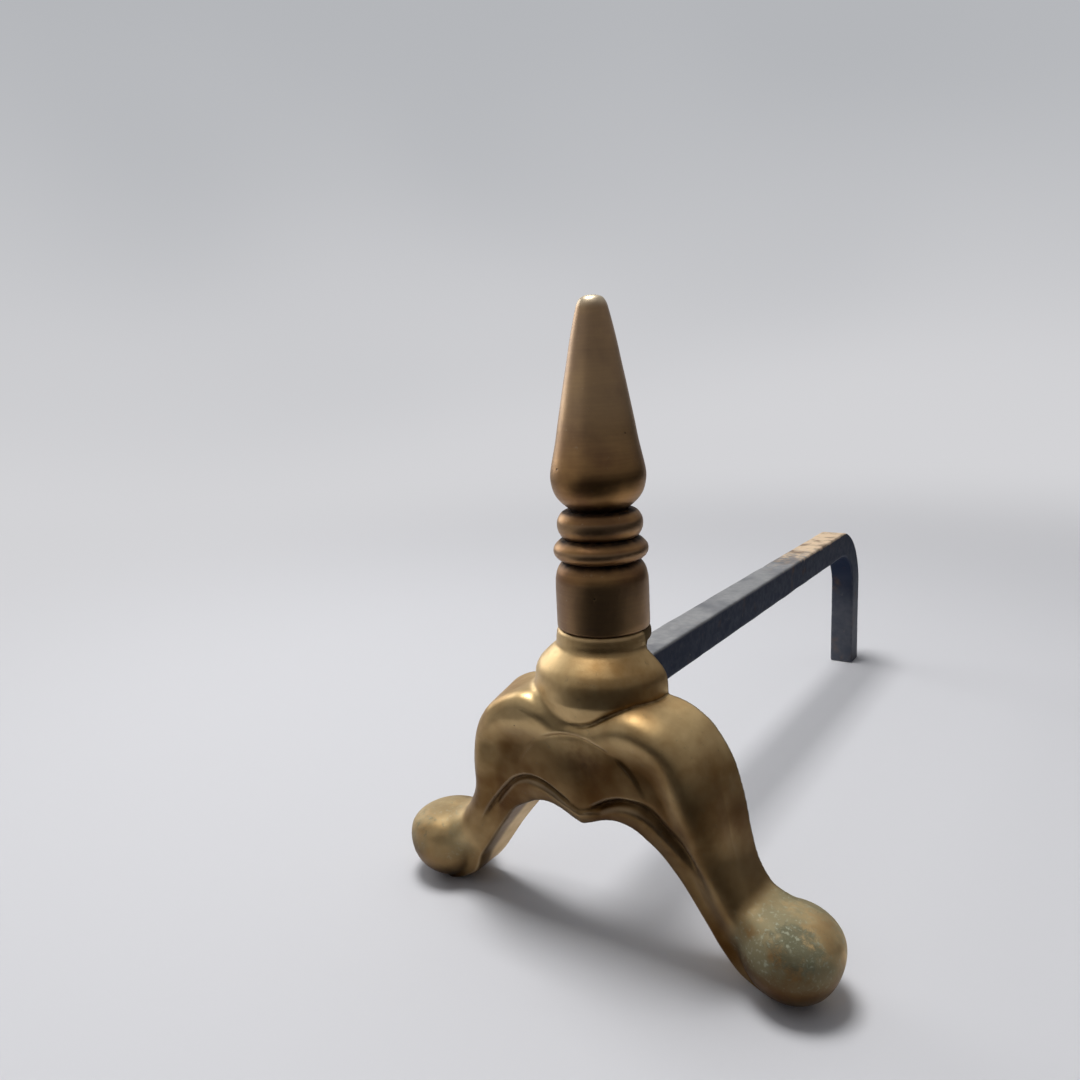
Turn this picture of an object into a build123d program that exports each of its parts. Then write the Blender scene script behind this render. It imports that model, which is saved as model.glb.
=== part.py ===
"""Brass andiron (fire-dog): a cast front stand, a turned column stacked on an iron rod,
and a wrought billet bar that carries the logs back to its own rear leg."""

import os

from build123d import *

# ---------------------------------------------------------------- driving dimensions, mm
# Billet bar: a hand-forged, nearly square iron bar, bent down at the back
bar_width = 17.5
bar_height = 19.0
bar_top_z = 114.5
bar_set_over = 6.5          # the bar lies this far to the left of the column
bar_back_y = 400.8          # from the column's axis to the back of the rear leg
rear_leg_thickness = 17.5
bend_outer_radius = 50.0
bend_inner_radius = 31.0
bar_edge_round = 0.8
shoulder_y = 24.0           # where the full bar begins, behind the column's axis

# Eye: the bar's front end, hammered flat and spread round the rod's hole
eye_thickness = 9.0
eye_step = 2.0              # the eye's top lies this far below the bar's top
eye_front = 11.0
eye_right = 11.0
eye_corner = 6.0
draw_down = 11.0            # length over which the bar thins to the eye

# Rod, washer and nut that hold the column, the stand and the bar together
rod_diameter = 8.0
rod_clearance = 0.25        # radial, through every piece that the rod only passes
finial_fit = 0.05           # radial, in the finial's tapped hole
finial_grip = 30.0          # how far the rod reaches up into the finial
rod_below_nut = 3.0
rod_end_chamfer = 0.8
washer_diameter = 21.0
washer_thickness = 2.0
nut_across_flats = 15.0
nut_thickness = 8.0
nut_chamfer = 0.8

# Turned column, from the stand's lip upwards
seam = 0.3                  # depth of the small chamfer at each seam between two pieces
lip_radius = 20.85
lip_height = 6.4
lip_round = 1.8
lip_top_z = 140.4
plinth_radius = 20.4
plinth_height = 29.4
plinth_shoulder = 4.8
lower_ring_radius = 20.6
lower_ring_height = 10.0
lower_ring_round = 4.6
upper_ring_radius = 18.6
upper_ring_height = 12.2
upper_ring_round = 4.6
finial_height = 88.9
finial_neck_radius = 12.8
finial_belly_radius = 20.5
finial_belly_z = 14.6       # widest line above the finial's foot
finial_cone_radius = 17.8
finial_cone_z = 28.0
finial_tip_radius = 7.6
finial_tip_z = 80.0
finial_flare = 0.6          # how steeply the belly leaves the neck, rise over run
finial_bore_end = 3.0       # blind hole beyond the rod's end

# Bell: the half-round cap of the stand, sliced flat behind
bell_radius = 31.4
bell_neck_radius = 20.3
bell_slope = 0.55           # how steeply the cap leaves the lip, fall over run
bell_hip = 3.6              # the cap's curve passes this far inside its widest radius
bell_hip_drop = 7.2         # at this depth below the lip
bell_widest_drop = 16.0     # below the lip's underside
bell_band = 6.0             # straight band below the widest line
bell_foot_radius = 26.0
bell_foot_drop = 11.0       # below the band
bell_foot_lean = 0.75       # how far the cap leans in at its foot, run over fall
bell_wall = 4.6
boss_radius = 9.0

# Front stand: two cabriole legs that meet in an arched apron
stand_depth = 28.0          # at the knees, from the flat back
apron_depth = 24.6
apron_edge_depth = 22.5
leg_edge_depth = 17.5
shoulder_rise = 1.3         # the legs' shoulders stand this far above the bell's band
hip_dip = 3.3               # and dip this far towards the middle
arch_tip_z = 56.3
arch_rise = 5.6             # from the pointed tip to the arch's crowns
knee_draw_in = 7.0          # how far the knee's front is set in from its back edge
hip_draw_in = 2.0
leg_stations = 11
crest_place = 0.55          # share of the leg's width where it is deepest
flank_share = 0.72          # the front's outer corner has this share of the crest's depth
foot_x = 89.3
foot_set_forward = 11.0
foot_radius = 21.2
foot_flat_radius = 6.0
toe_inset = 5.0             # the leg's end lies this far inside the ball, behind
toe_thinning = 3.0

# Shield on the apron, with a shallow dish
shield_radius = 24.0
shield_z = 74.0
shield_face = 26.6          # depth of its face, from the flat back
shield_foot_drop = 7.0
dish_half_width = 8.5
dish_half_height = 11.0
dish_z = 84.0
dish_depth = 1.2

# Pocket behind the apron, room for the bar's eye and the nut
pocket_clearance = 4.8
pocket_drop = 18.0          # below the rod's end, room for a spanner
pocket_corner = 8.0
top_web = 1.0               # the bell's hollow stops this far below the lip
overcut = 1.0               # the pocket's cut starts this far behind the flat back

# ---------------------------------------------------------------- places worked out
foot_front = foot_set_forward + foot_radius
column_y = -(bar_back_y - foot_front) / 2       # the origin is under the middle of the whole
rod_radius = rod_diameter / 2
foot_flat_drop = foot_radius - (foot_radius**2 - foot_flat_radius**2) ** 0.5
foot_z = foot_radius - foot_flat_drop
bar_x = -bar_set_over
bar_left = bar_x - bar_width / 2
bar_right = bar_x + bar_width / 2
bar_bottom_z = bar_top_z - bar_height
eye_top_z = bar_top_z - eye_step
eye_bottom_z = eye_top_z - eye_thickness
finial_lean = (finial_cone_radius - finial_tip_radius) / (finial_tip_z - finial_cone_z)
plinth_z = lip_top_z
lower_ring_z = plinth_z + plinth_height
upper_ring_z = lower_ring_z + lower_ring_height
finial_z = upper_ring_z + upper_ring_height
lip_z = lip_top_z - lip_height
bell_widest_z = lip_z - bell_widest_drop
bell_band_z = bell_widest_z - bell_band
bell_foot_z = bell_band_z - bell_foot_drop
shoulder_z = bell_band_z + shoulder_rise
washer_z = eye_bottom_z - washer_thickness
nut_z = washer_z - nut_thickness
rod_bottom_z = nut_z - rod_below_nut
rod_top_z = finial_z + finial_grip
pocket_half_width = -bar_left + pocket_clearance
pocket_depth = eye_front + pocket_clearance
pocket_floor_z = rod_bottom_z - pocket_drop

column = Plane((0, column_y, 0))                # axis of everything that is turned
front = Plane.XZ.offset(-column_y)              # the stand's flat back, facing forwards
side = Plane((bar_x, column_y, 0), x_dir=(0, 1, 0), z_dir=(1, 0, 0))


def column_plane(z):
    """A level plane at height z, centred on the column."""
    return column.offset(z)


def ring(height, radius, edge_round, z):
    """A turned ring with rounded edges, bored for the rod."""
    with BuildPart() as turned:
        with BuildSketch(column_plane(z)):
            Circle(radius)
        extrude(amount=height)
        fillet(turned.edges().filter_by(GeomType.CIRCLE), edge_round)
        with BuildSketch(column_plane(z)):
            Circle(rod_radius + rod_clearance)
        extrude(amount=height, mode=Mode.SUBTRACT)
    return turned


# ---------------------------------------------------------------- legs
# Outlines of the right leg seen from the front, from the middle of the stand to the ball:
# the arch below it, and the shoulder, knee and shin above it.
arch_line = Spline(
    (0, arch_tip_z),
    (0.20 * foot_x, arch_tip_z + arch_rise),
    (0.38 * foot_x, 0.93 * arch_tip_z),
    (0.65 * foot_x, 0.365 * arch_tip_z),
    (foot_x - 1.06 * foot_radius, 0.64 * foot_radius),
    (foot_x - 0.5 * foot_radius, 0.6 * foot_radius),
    tangents=[(1, 0.6), (1, 0)],
)
knee_line = Spline(
    (0, shoulder_z - hip_dip),
    (0.33 * foot_x, shoulder_z),
    (0.55 * foot_x, 0.95 * shoulder_z),
    (0.69 * foot_x, 0.80 * shoulder_z),
    (0.77 * foot_x, 0.54 * shoulder_z),
    (0.86 * foot_x, 0.385 * shoulder_z),
    (foot_x + 0.13 * foot_radius, 1.58 * foot_radius),
    tangents=[(1, 0.2), (1, -0.15)],
)


def ramp(share, start, end, first, last):
    """A value that goes from first to last as share goes from start to end."""
    done = min(max((share - start) / (end - start), 0), 1)
    return first + (last - first) * done


def leg_section(share):
    """A slice across the leg, flat at the back and rounded at the front and outside."""
    inner = arch_line @ share
    outer = knee_line @ share
    across = Vector(outer.X - inner.X, 0, outer.Y - inner.Y)
    forward = Vector(0, -1, 0)
    width = across.length
    edge_depth = ramp(share, 0.1, 0.5, apron_edge_depth, leg_edge_depth)
    crest_depth = ramp(share, 0.1, 0.3, apron_depth, stand_depth)
    crest_depth -= ramp(share, 0.8, 1.0, 0, toe_thinning)
    draw_in = ramp(share, 0.1, 0.5, hip_draw_in, knee_draw_in)
    back = ramp(share, 0.8, 1.0, 0, toe_inset)
    plane = Plane(
        origin=(inner.X, column_y, inner.Y),
        x_dir=across,
        z_dir=across.cross(forward),
    )
    with BuildSketch(plane) as leg_slice:
        with BuildLine():
            Line((0, back), (0, edge_depth))
            Spline(
                (0, edge_depth),
                (crest_place * width, crest_depth),
                (width - draw_in, flank_share * crest_depth),
                (width, back),
                tangents=[(1, 0.12), (0.12, -1)],
            )
            Line((width, back), (0, back))
        make_face()
    return leg_slice.sketch


# ---------------------------------------------------------------- front stand
with BuildPart() as leg:
    add([leg_section(i / (leg_stations - 1)) for i in range(leg_stations)])
    loft()

with BuildPart() as leg_casting:
    # two cabriole legs, alike left and right, meeting under the bell
    add(leg.part)
    mirror(leg.part, about=Plane.YZ)
    # ball feet, flattened where they stand
    with Locations(
        (foot_x, column_y - foot_set_forward, foot_z),
        (-foot_x, column_y - foot_set_forward, foot_z),
    ):
        Sphere(foot_radius)
    split(bisect_by=Plane.XY, keep=Keep.TOP)
    # bell, the front half of a turned cap
    with BuildSketch(front):
        with BuildLine():
            Polyline((0, bell_foot_z), (0, lip_z), (bell_neck_radius, lip_z))
            Spline(
                (bell_neck_radius, lip_z),
                (bell_radius - bell_hip, lip_z - bell_hip_drop),
                (bell_radius, bell_widest_z),
                tangents=[(1, -bell_slope), (0, -1)],
            )
            Line((bell_radius, bell_widest_z), (bell_radius, bell_band_z))
            Spline(
                (bell_radius, bell_band_z),
                (bell_foot_radius, bell_foot_z),
                tangents=[(0, -1), (-bell_foot_lean, -1)],
            )
            Line((bell_foot_radius, bell_foot_z), (0, bell_foot_z))
        make_face()
    revolve(axis=Axis((0, column_y, 0), (0, 0, 1)), revolution_arc=-180)
    # shield on the apron
    with BuildSketch(front.offset(apron_edge_depth / 2)):
        with BuildLine():
            CenterArc((0, shield_z), shield_radius, 0, 180)
            Polyline(
                (-shield_radius, shield_z),
                (0, shield_z - shield_foot_drop),
                (shield_radius, shield_z),
            )
        make_face()
    extrude(amount=shield_face - apron_edge_depth / 2)
    with BuildSketch(front.offset(shield_face)):
        with Locations((0, dish_z)):
            Ellipse(dish_half_width, dish_half_height)
    extrude(amount=-dish_depth, mode=Mode.SUBTRACT)
    # hollow of the bell
    with BuildSketch(front):
        with BuildLine():
            Polyline(
                (0, bell_foot_z),
                (0, lip_z - top_web),
                (bell_neck_radius - bell_wall, lip_z - top_web),
            )
            Spline(
                (bell_neck_radius - bell_wall, lip_z - top_web),
                (bell_radius - bell_wall, bell_widest_z),
                tangents=[(1, -bell_slope), (0, -1)],
            )
            Polyline(
                (bell_radius - bell_wall, bell_widest_z),
                (bell_radius - bell_wall, bell_band_z),
                (bell_foot_radius - bell_wall, bell_foot_z),
                (0, bell_foot_z),
            )
        make_face()
    revolve(axis=Axis((0, column_y, 0), (0, 0, 1)), revolution_arc=-180, mode=Mode.SUBTRACT)
    # pocket behind the apron
    with BuildSketch(front.offset(-overcut)):
        with Locations((0, (pocket_floor_z + bar_top_z) / 2)):
            RectangleRounded(2 * pocket_half_width, bar_top_z - pocket_floor_z, pocket_corner)
    extrude(amount=pocket_depth + overcut, mode=Mode.SUBTRACT)
    # lip that the column stands on, full round, and the boss that bears on the bar's eye
    with BuildSketch(front) as lip_profile:
        with Locations((lip_radius / 2, lip_z + lip_height / 2)):
            Rectangle(lip_radius, lip_height)
        fillet(lip_profile.vertices().sort_by(Axis.X)[-2:], lip_round)
    revolve(axis=Axis((0, column_y, 0), (0, 0, 1)))
    with BuildSketch(column_plane(eye_top_z)):
        Circle(boss_radius)
    extrude(amount=lip_z - eye_top_z)
    with BuildSketch(column_plane(eye_top_z)):
        Circle(rod_radius + rod_clearance)
    extrude(amount=lip_top_z - eye_top_z, mode=Mode.SUBTRACT)
leg_casting.part.label = "leg_casting"

# ---------------------------------------------------------------- turned column
with BuildPart() as plinth:
    with BuildSketch(column_plane(plinth_z)):
        Circle(plinth_radius)
    extrude(amount=plinth_height)
    fillet(plinth.faces().sort_by(Axis.Z)[-1].edges(), plinth_shoulder)
    chamfer(plinth.faces().sort_by(Axis.Z)[0].edges(), seam)
    with BuildSketch(column_plane(plinth_z)):
        Circle(rod_radius + rod_clearance)
    extrude(amount=plinth_height, mode=Mode.SUBTRACT)
plinth.part.label = "plinth"

lower_ring = ring(lower_ring_height, lower_ring_radius, lower_ring_round, lower_ring_z)
lower_ring.part.label = "lower_ring"

upper_ring = ring(upper_ring_height, upper_ring_radius, upper_ring_round, upper_ring_z)
upper_ring.part.label = "upper_ring"

with BuildPart() as finial:
    with BuildSketch(front.shift_origin((0, column_y, finial_z))):
        with BuildLine():
            Line((0, 0), (finial_neck_radius, 0))
            Spline(
                (finial_neck_radius, 0),
                (finial_belly_radius, finial_belly_z),
                (finial_cone_radius, finial_cone_z),
                tangents=[(1, finial_flare), (-finial_lean, 1)],
            )
            Line((finial_cone_radius, finial_cone_z), (finial_tip_radius, finial_tip_z))
            Spline(
                (finial_tip_radius, finial_tip_z),
                (0, finial_height),
                tangents=[(-finial_lean, 1), (-1, 0)],
            )
            Line((0, finial_height), (0, 0))
        make_face()
    revolve(axis=Axis((0, column_y, 0), (0, 0, 1)))
    with BuildSketch(column_plane(finial_z)):
        Circle(rod_radius + finial_fit)
    extrude(amount=finial_grip + finial_bore_end, mode=Mode.SUBTRACT)
finial.part.label = "finial"

# ---------------------------------------------------------------- rod, washer and nut
with BuildPart() as tie_rod:
    with BuildSketch(column_plane(rod_bottom_z)):
        Circle(rod_radius)
    extrude(amount=rod_top_z - rod_bottom_z)
    chamfer(tie_rod.edges().filter_by(GeomType.CIRCLE), rod_end_chamfer)
tie_rod.part.label = "tie_rod"

with BuildPart() as washer:
    with BuildSketch(column_plane(washer_z)):
        Circle(washer_diameter / 2)
        Circle(rod_radius + rod_clearance, mode=Mode.SUBTRACT)
    extrude(amount=washer_thickness)
washer.part.label = "washer"

with BuildPart() as nut:
    with BuildSketch(column_plane(nut_z)):
        Rectangle(nut_across_flats, nut_across_flats)
    extrude(amount=nut_thickness)
    chamfer(nut.edges().filter_by(Axis.Z), nut_chamfer)
    with BuildSketch(column_plane(nut_z)):
        Circle(rod_radius + finial_fit)
    extrude(amount=nut_thickness, mode=Mode.SUBTRACT)
nut.part.label = "nut"

# ---------------------------------------------------------------- billet bar
with BuildPart() as billet_bar:
    # the bar and its rear leg, with the front end drawn down to the eye's thickness
    with BuildSketch(side) as bar_profile:
        with BuildLine():
            Polyline(
                (0, eye_top_z),
                (shoulder_y - eye_step, eye_top_z),
                (shoulder_y, bar_top_z),
                (bar_back_y, bar_top_z),
                (bar_back_y, 0),
                (bar_back_y - rear_leg_thickness, 0),
                (bar_back_y - rear_leg_thickness, bar_bottom_z),
                (shoulder_y, bar_bottom_z),
                (shoulder_y - draw_down, eye_bottom_z),
                (0, eye_bottom_z),
                close=True,
            )
        make_face()
        fillet(bar_profile.vertices().sort_by_distance((bar_back_y, bar_top_z))[0], bend_outer_radius)
        inner_corner = (bar_back_y - rear_leg_thickness, bar_bottom_z)
        fillet(bar_profile.vertices().sort_by_distance(inner_corner)[0], bend_inner_radius)
    extrude(amount=bar_width / 2, both=True)
    flanks = billet_bar.faces().filter_by(Axis.X)
    fillet(flanks.edges(), bar_edge_round)
    # the eye, spread to the right so that its hole comes under the column
    with BuildSketch(column_plane(eye_bottom_z)) as eye_outline:
        with BuildLine():
            Polyline(
                (bar_left, -eye_front),
                (eye_right, -eye_front),
                (eye_right, eye_front),
                (bar_right, shoulder_y - draw_down + eye_front),
                (bar_left, shoulder_y - draw_down + eye_front),
                close=True,
            )
        make_face()
        fillet(eye_outline.vertices().group_by(Axis.Y)[0], eye_corner)
    extrude(amount=eye_thickness)
    with BuildSketch(column_plane(eye_bottom_z)):
        Circle(rod_radius + rod_clearance)
    extrude(amount=eye_thickness, mode=Mode.SUBTRACT)
billet_bar.part.label = "billet_bar"

# ---------------------------------------------------------------- written files
os.makedirs("parts", exist_ok=True)
export_step(leg_casting.part, "parts/leg_casting.step")
export_step(plinth.part, "parts/plinth.step")
export_step(lower_ring.part, "parts/lower_ring.step")
export_step(upper_ring.part, "parts/upper_ring.step")
export_step(finial.part, "parts/finial.step")
export_step(tie_rod.part, "parts/tie_rod.step")
export_step(washer.part, "parts/washer.step")
export_step(nut.part, "parts/nut.step")
export_step(billet_bar.part, "parts/billet_bar.step")
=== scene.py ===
"""Brass andiron: a cast stand on ball feet, a turned column on its tie rod, and a forged billet bar.

Run as a script, it dresses the engineering frame with finished pieces and sets up the studio round them.
"""

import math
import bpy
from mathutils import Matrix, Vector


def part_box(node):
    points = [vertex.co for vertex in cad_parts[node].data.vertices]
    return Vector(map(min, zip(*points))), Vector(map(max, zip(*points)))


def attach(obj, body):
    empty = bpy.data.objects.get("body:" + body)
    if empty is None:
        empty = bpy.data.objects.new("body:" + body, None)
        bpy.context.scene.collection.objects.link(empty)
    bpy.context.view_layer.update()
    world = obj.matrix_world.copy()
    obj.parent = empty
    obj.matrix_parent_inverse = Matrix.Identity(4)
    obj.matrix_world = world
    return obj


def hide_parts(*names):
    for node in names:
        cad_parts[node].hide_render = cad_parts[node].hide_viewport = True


bl_info = {
    "name": "Brass Andiron",
    "version": (1, 0, 0),
    "blender": (4, 5, 0),
    "location": "3D View > Sidebar > Andiron",
    "description": "Finishes a brass andiron round its frame: casting, turnings, rod, bar and studio",
    "category": "Object",
}

import bpy
import numpy as np
from bpy.props import FloatProperty, FloatVectorProperty, IntProperty, PointerProperty
from mathutils import Matrix, Vector

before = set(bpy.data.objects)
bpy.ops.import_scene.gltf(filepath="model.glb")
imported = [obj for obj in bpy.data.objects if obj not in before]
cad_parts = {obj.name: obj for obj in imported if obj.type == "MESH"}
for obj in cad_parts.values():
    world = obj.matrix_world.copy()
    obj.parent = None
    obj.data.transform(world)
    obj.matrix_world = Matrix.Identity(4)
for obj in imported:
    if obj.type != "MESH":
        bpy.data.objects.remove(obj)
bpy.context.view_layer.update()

MM = 0.001

# ---------------------------------------------------------------- outlines, mm
# Right half of the stand, seen from the front: across from the column's axis, up from the floor.
ARCH_EDGE = (
    (-6, 52.4), (0, 55.4), (4, 57.0), (11, 60.0), (18, 61.4), (24, 60.3), (32, 54.4), (41, 43.8),
    (50, 32.2), (57, 22.0), (63.5, 13.0), (70, 6.3), (78, 1.8), (90, -2.0),
)
KNEE_EDGE = (
    (-7, 107.6), (0, 108.6), (4, 109.0), (7, 109.8), (10, 111.2), (14, 112.8), (18, 113.8),
    (24, 114.4), (33, 113.6), (42, 111.4), (50, 106.9), (56, 100.2), (61, 91.5), (64.3, 82.5),
    (66.8, 71.5), (68.6, 61.0), (70.6, 52.6), (73.8, 45.2), (78.0, 39.0), (84, 33.0), (90, 27.0),
    (98, 21.0),
)
RIM_GROOVE = (
    (-4, 61.6), (3.5, 64.0), (9, 66.5), (14, 69.4), (20.5, 72.0), (27.5, 72.2), (33.6, 69.8),
    (41.8, 62.2), (50.4, 52.0), (58, 40.4), (64, 29.5),
)
# Half profile of the bell, outwards from the lip: distance from the axis, height.
BELL_PROFILE = (
    (20.3, 134.4), (21.6, 132.6), (24.2, 130.2), (27.0, 127.6), (29.4, 124.9), (30.8, 122.0),
    (31.3, 118.8), (31.4, 115.4), (31.4, 112.6),
)
BELL_FOOT = ((31.4, 112.6), (30.7, 110.6), (29.6, 107.9), (27.7, 103.9), (25.4, 99.5), (22.0, 95.0))
# Turned pieces, outwards from the axis: distance from the axis, height above the piece's foot.
FINIAL_SIDE = (
    (12.2, 0.0), (13.0, 0.7), (15.0, 2.4), (16.9, 4.2), (18.4, 6.2), (19.5, 8.6), (20.2, 11.4),
    (20.5, 14.2), (20.3, 16.8), (19.7, 20.0), (18.8, 24.0), (17.6, 29.6), (16.3, 37.0), (14.7, 45.5),
    (13.1, 54.0), (11.5, 62.0), (9.9, 70.3), (8.3, 77.6), (7.1, 82.5), (6.0, 86.0), (4.7, 87.8),
    (2.7, 88.65), (0.0, 88.9),
)
UPPER_RING_SIDE = (
    (15.5, 0.0), (16.6, 0.8), (17.8, 2.6), (18.5, 4.6), (18.6, 6.2), (18.4, 7.9), (17.7, 9.5),
    (16.4, 11.2), (15.0, 11.95), (13.6, 12.2),
)
LOWER_RING_SIDE = (
    (15.7, 0.0), (16.9, 0.4), (18.9, 1.5), (20.2, 3.1), (20.6, 5.0), (20.1, 6.7), (19.0, 8.0),
    (17.6, 9.2), (16.1, 10.0),
)
PLINTH_SIDE = (
    (19.9, 0.0), (20.25, 0.35), (20.35, 1.4), (20.4, 6.0), (20.4, 12.0), (20.35, 18.0), (20.1, 22.4),
    (19.45, 25.2), (18.4, 27.3), (17.2, 28.7), (16.1, 29.4),
)


# ---------------------------------------------------------------- sizes and colours
def length(name, description, millimetres):
    """A property that holds a length."""
    return FloatProperty(
        name=name, description=description, default=millimetres * MM, unit="LENGTH", precision=5
    )


def linear(code):
    """Linear colour of an sRGB hex code."""
    parts = (int(code[i : i + 2], 16) / 255 for i in (1, 3, 5))
    return tuple(c / 12.92 if c <= 0.04045 else ((c + 0.055) / 1.055) ** 2.4 for c in parts)


def colour(name, description, code):
    """A property that holds a colour, given as an sRGB hex code."""
    return FloatVectorProperty(
        name=name, description=description, default=linear(code), subtype="COLOR", min=0, max=1
    )


class StandSizes(bpy.types.PropertyGroup):
    """Sizes of the cast stand."""

    cell: length("Cell", "Spacing of the casting's surface points", 0.9)
    ball: length("Ball", "Radius of a ball foot", 21.2)
    ball_rise: length("Ball rise", "Height of a ball's centre", 20.33)
    apron: length("Apron depth", "Depth of the bevel's inner side from the flat back", 26.4)
    crotch: length("Crotch depth", "Depth of the valley between the shoulders", 30.2)
    knee: length("Knee depth", "Depth of the rolled crest along each leg", 31.4)
    shin_drop: length("Shin drop", "How far the shin falls back from the knee to the ankle", 6.4)
    rim_edge: length("Rim depth", "Depth at the arch's edge, in the middle", 24.6)
    shin_edge: length("Shin depth", "Depth at the inner edge of each shin", 19.8)
    rim_roll: length("Rim roll", "How far the rim between arch and groove swells", 1.1)
    groove: length("Groove", "Depth of the groove that follows the arch", 2.5)
    leg_round: length("Leg round", "Width of the rounding along the legs' outer edge", 13.0)
    left_round: length("Left round", "The same on the left shoulder, which is squarer", 6.0)
    splay: length("Splay", "How far the left leg's inner face leans outwards to the front", 3.4)
    arris: length("Arris", "Width of the rounding along the casting's cut edges", 1.2)
    shield: length("Shield", "Radius of the shield's round top", 34.0)
    shield_z: length("Shield height", "Height of the shield's centre", 64.8)
    shield_face: length("Shield face", "Depth of the shield's face at its top", 27.5)
    shield_lean: length("Shield lean", "How much less deep the shield is at its foot", 1.3)
    ball_top: length("Ball top", "Height at which a ball's crown is flattened", 35.9)
    ball_wear: length("Ball wear", "How far a ball is worn flat low on its outside", 2.0)
    dish: length("Dish", "Depth of the hollow in the shield", 1.3)
    lip: length("Lip", "Radius of the lip that the column stands on", 20.85)
    lip_height: length("Lip height", "Height of the lip", 6.4)
    wall: length("Wall", "Thickness of the bell's wall", 4.6)
    boss: length("Boss", "Radius of the boss that bears on the bar's eye", 9.0)
    rod_hole: length("Rod hole", "Radius of the hole for the tie rod", 4.25)
    pocket_half: length("Pocket", "Half width of the pocket behind the apron", 20.05)
    pocket_depth: length("Pocket depth", "Depth of the pocket from the flat back", 15.8)


class TurnedSizes(bpy.types.PropertyGroup):
    """Sizes of the column and of the rod, washer and nut that hold it."""

    sides: IntProperty(name="Sides", description="Facets round a turned piece", default=128, min=12)
    bore: length("Bore", "Radius of the hole through the column's pieces", 4.25)
    tapping: length("Tapping", "Radius of the tapped holes", 4.05)
    tapped_depth: length("Tapped depth", "How far the hole goes up into the finial", 33.0)
    rod: length("Rod", "Radius of the tie rod", 4.0)
    pitch: length("Pitch", "Pitch of the rod's thread", 1.25)
    thread: FloatProperty(
        name="Thread", description="Depth of the thread as a share of the radius", default=0.16
    )
    flats: length("Across flats", "Half the nut's width across its flats", 7.5)
    corners: length("Across corners", "Half the nut's width across its clipped corners", 10.04)


class BarSizes(bpy.types.PropertyGroup):
    """Sizes of the forged bar."""

    cell: length("Cell", "Spacing of the bar's surface points", 1.0)
    height: length("Bar height", "Height of the bar's section", 19.0)
    width: length("Bar width", "Width of the bar's section", 17.5)
    leg: length("Leg", "Thickness of the rear leg", 17.5)
    bend: length("Bend", "Outer radius of the bend", 50.0)
    crook: length("Crook", "Inner radius of the bend", 31.0)
    eye: length("Eye", "Thickness of the flattened eye", 9.0)
    eye_step: length("Eye step", "How far the eye lies below the bar's top", 2.0)
    eye_reach: length("Eye reach", "How far the eye reaches past the rod's axis", 11.0)
    eye_corner: length("Eye corner", "Corner radius of the eye", 6.0)
    shoulder: length("Shoulder", "Where the full bar begins, behind the rod's axis", 24.0)
    arris: length("Arris", "How wide the bar's edges are rounded by wear", 1.5)
    dents: FloatProperty(name="Dents", description="Strength of the hammer marks", default=1.0)


class Finishes(bpy.types.PropertyGroup):
    """Colours of the metals and of the studio."""

    cast: colour("Cast brass", "Hand-polished high parts of the casting", "#D6B987")
    cast_brown: colour("Cast brown", "Mellowed flats of the casting", "#987344")
    # recess is the brass's copy in painted shade, mixed with brown wax: it darkens the casting below its
    # crest, low on the legs and balls, under the arch and down the flanks
    recess: colour("Recess", "Brown wax left on the apron and down the legs", "#583A17")
    # hollow also darkens as painted shadow in the crease under the bell, and as painted shade in the
    # shield's dish, under the arch and in the column's necks and joints
    hollow: colour("Hollow", "Dirt and wax in the hollows", "#33251A")
    film: colour("Film", "Thin olive film of tarnish over the ball feet", "#8C8667")
    green: colour("Verdigris", "Tarnish in patches on the ball feet", "#66664F")
    chalk: colour("Chalk", "Pale dry specks in the verdigris", "#B5B59C")
    rough: colour("As cast", "Unpolished brass behind", "#5F4E30")
    turned: colour("Turned brass", "Satin brass of the column", "#A37D50")
    turned_brown: colour("Turned brown", "Aged patches of the column", "#7A573D")
    # worn also lightens the finial's tip and cone as a painted highlight
    worn: colour("Worn brass", "Bright brass where hands have worn it", "#DCCDB2")
    scale: colour("Fire scale", "Blue-black scale of the forged bar", "#122039")
    bare: colour("Bare iron", "Grey iron rubbed by the logs", "#9C9C9C")
    rust: colour("Rust", "Thin rust on the bar", "#5E4433")
    ash: colour("Burnt ash", "Pale burnt patch before the bend", "#E0C6A6")
    steel: colour("Blackened steel", "Rod, washer and nut", "#3B3935")
    floor: colour("Floor", "Pale floor and sweep", "#D3D3D6")
    far: colour("Far sweep", "The sweep high up and far away", "#B4B6BA")
    dusk: colour("Dusk", "The dim side higher up", "#97979B")
    dim: colour("Dim side", "The sweep on the side away from the light", "#1F2023")
    sky_bright: colour("Bright sky", "Soft light from the left, from behind and above", "#ECEDF0")
    sky_dim: colour("Dim sky", "Soft light from the right", "#868689")


# ---------------------------------------------------------------- curves and fields
def smooth_line(points, count):
    """A smooth curve through a few points given in millimetres, as evenly spaced points in metres."""
    p = np.array(points, float) * MM
    u = np.concatenate([[0], np.cumsum(np.hypot(*np.diff(p, axis=0).T))])
    slope = np.gradient(p, u, axis=0)
    t = np.linspace(0, u[-1], count)
    i = np.clip(np.searchsorted(u, t, side="right") - 1, 0, len(u) - 2)
    h = (u[i + 1] - u[i])[:, None]
    s = (t - u[i])[:, None] / h
    ends = (2 * s**3 - 3 * s**2 + 1) * p[i] + (3 * s**2 - 2 * s**3) * p[i + 1]
    return ends + h * ((s**3 - 2 * s**2 + s) * slope[i] + (s**3 - s**2) * slope[i + 1])


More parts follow.
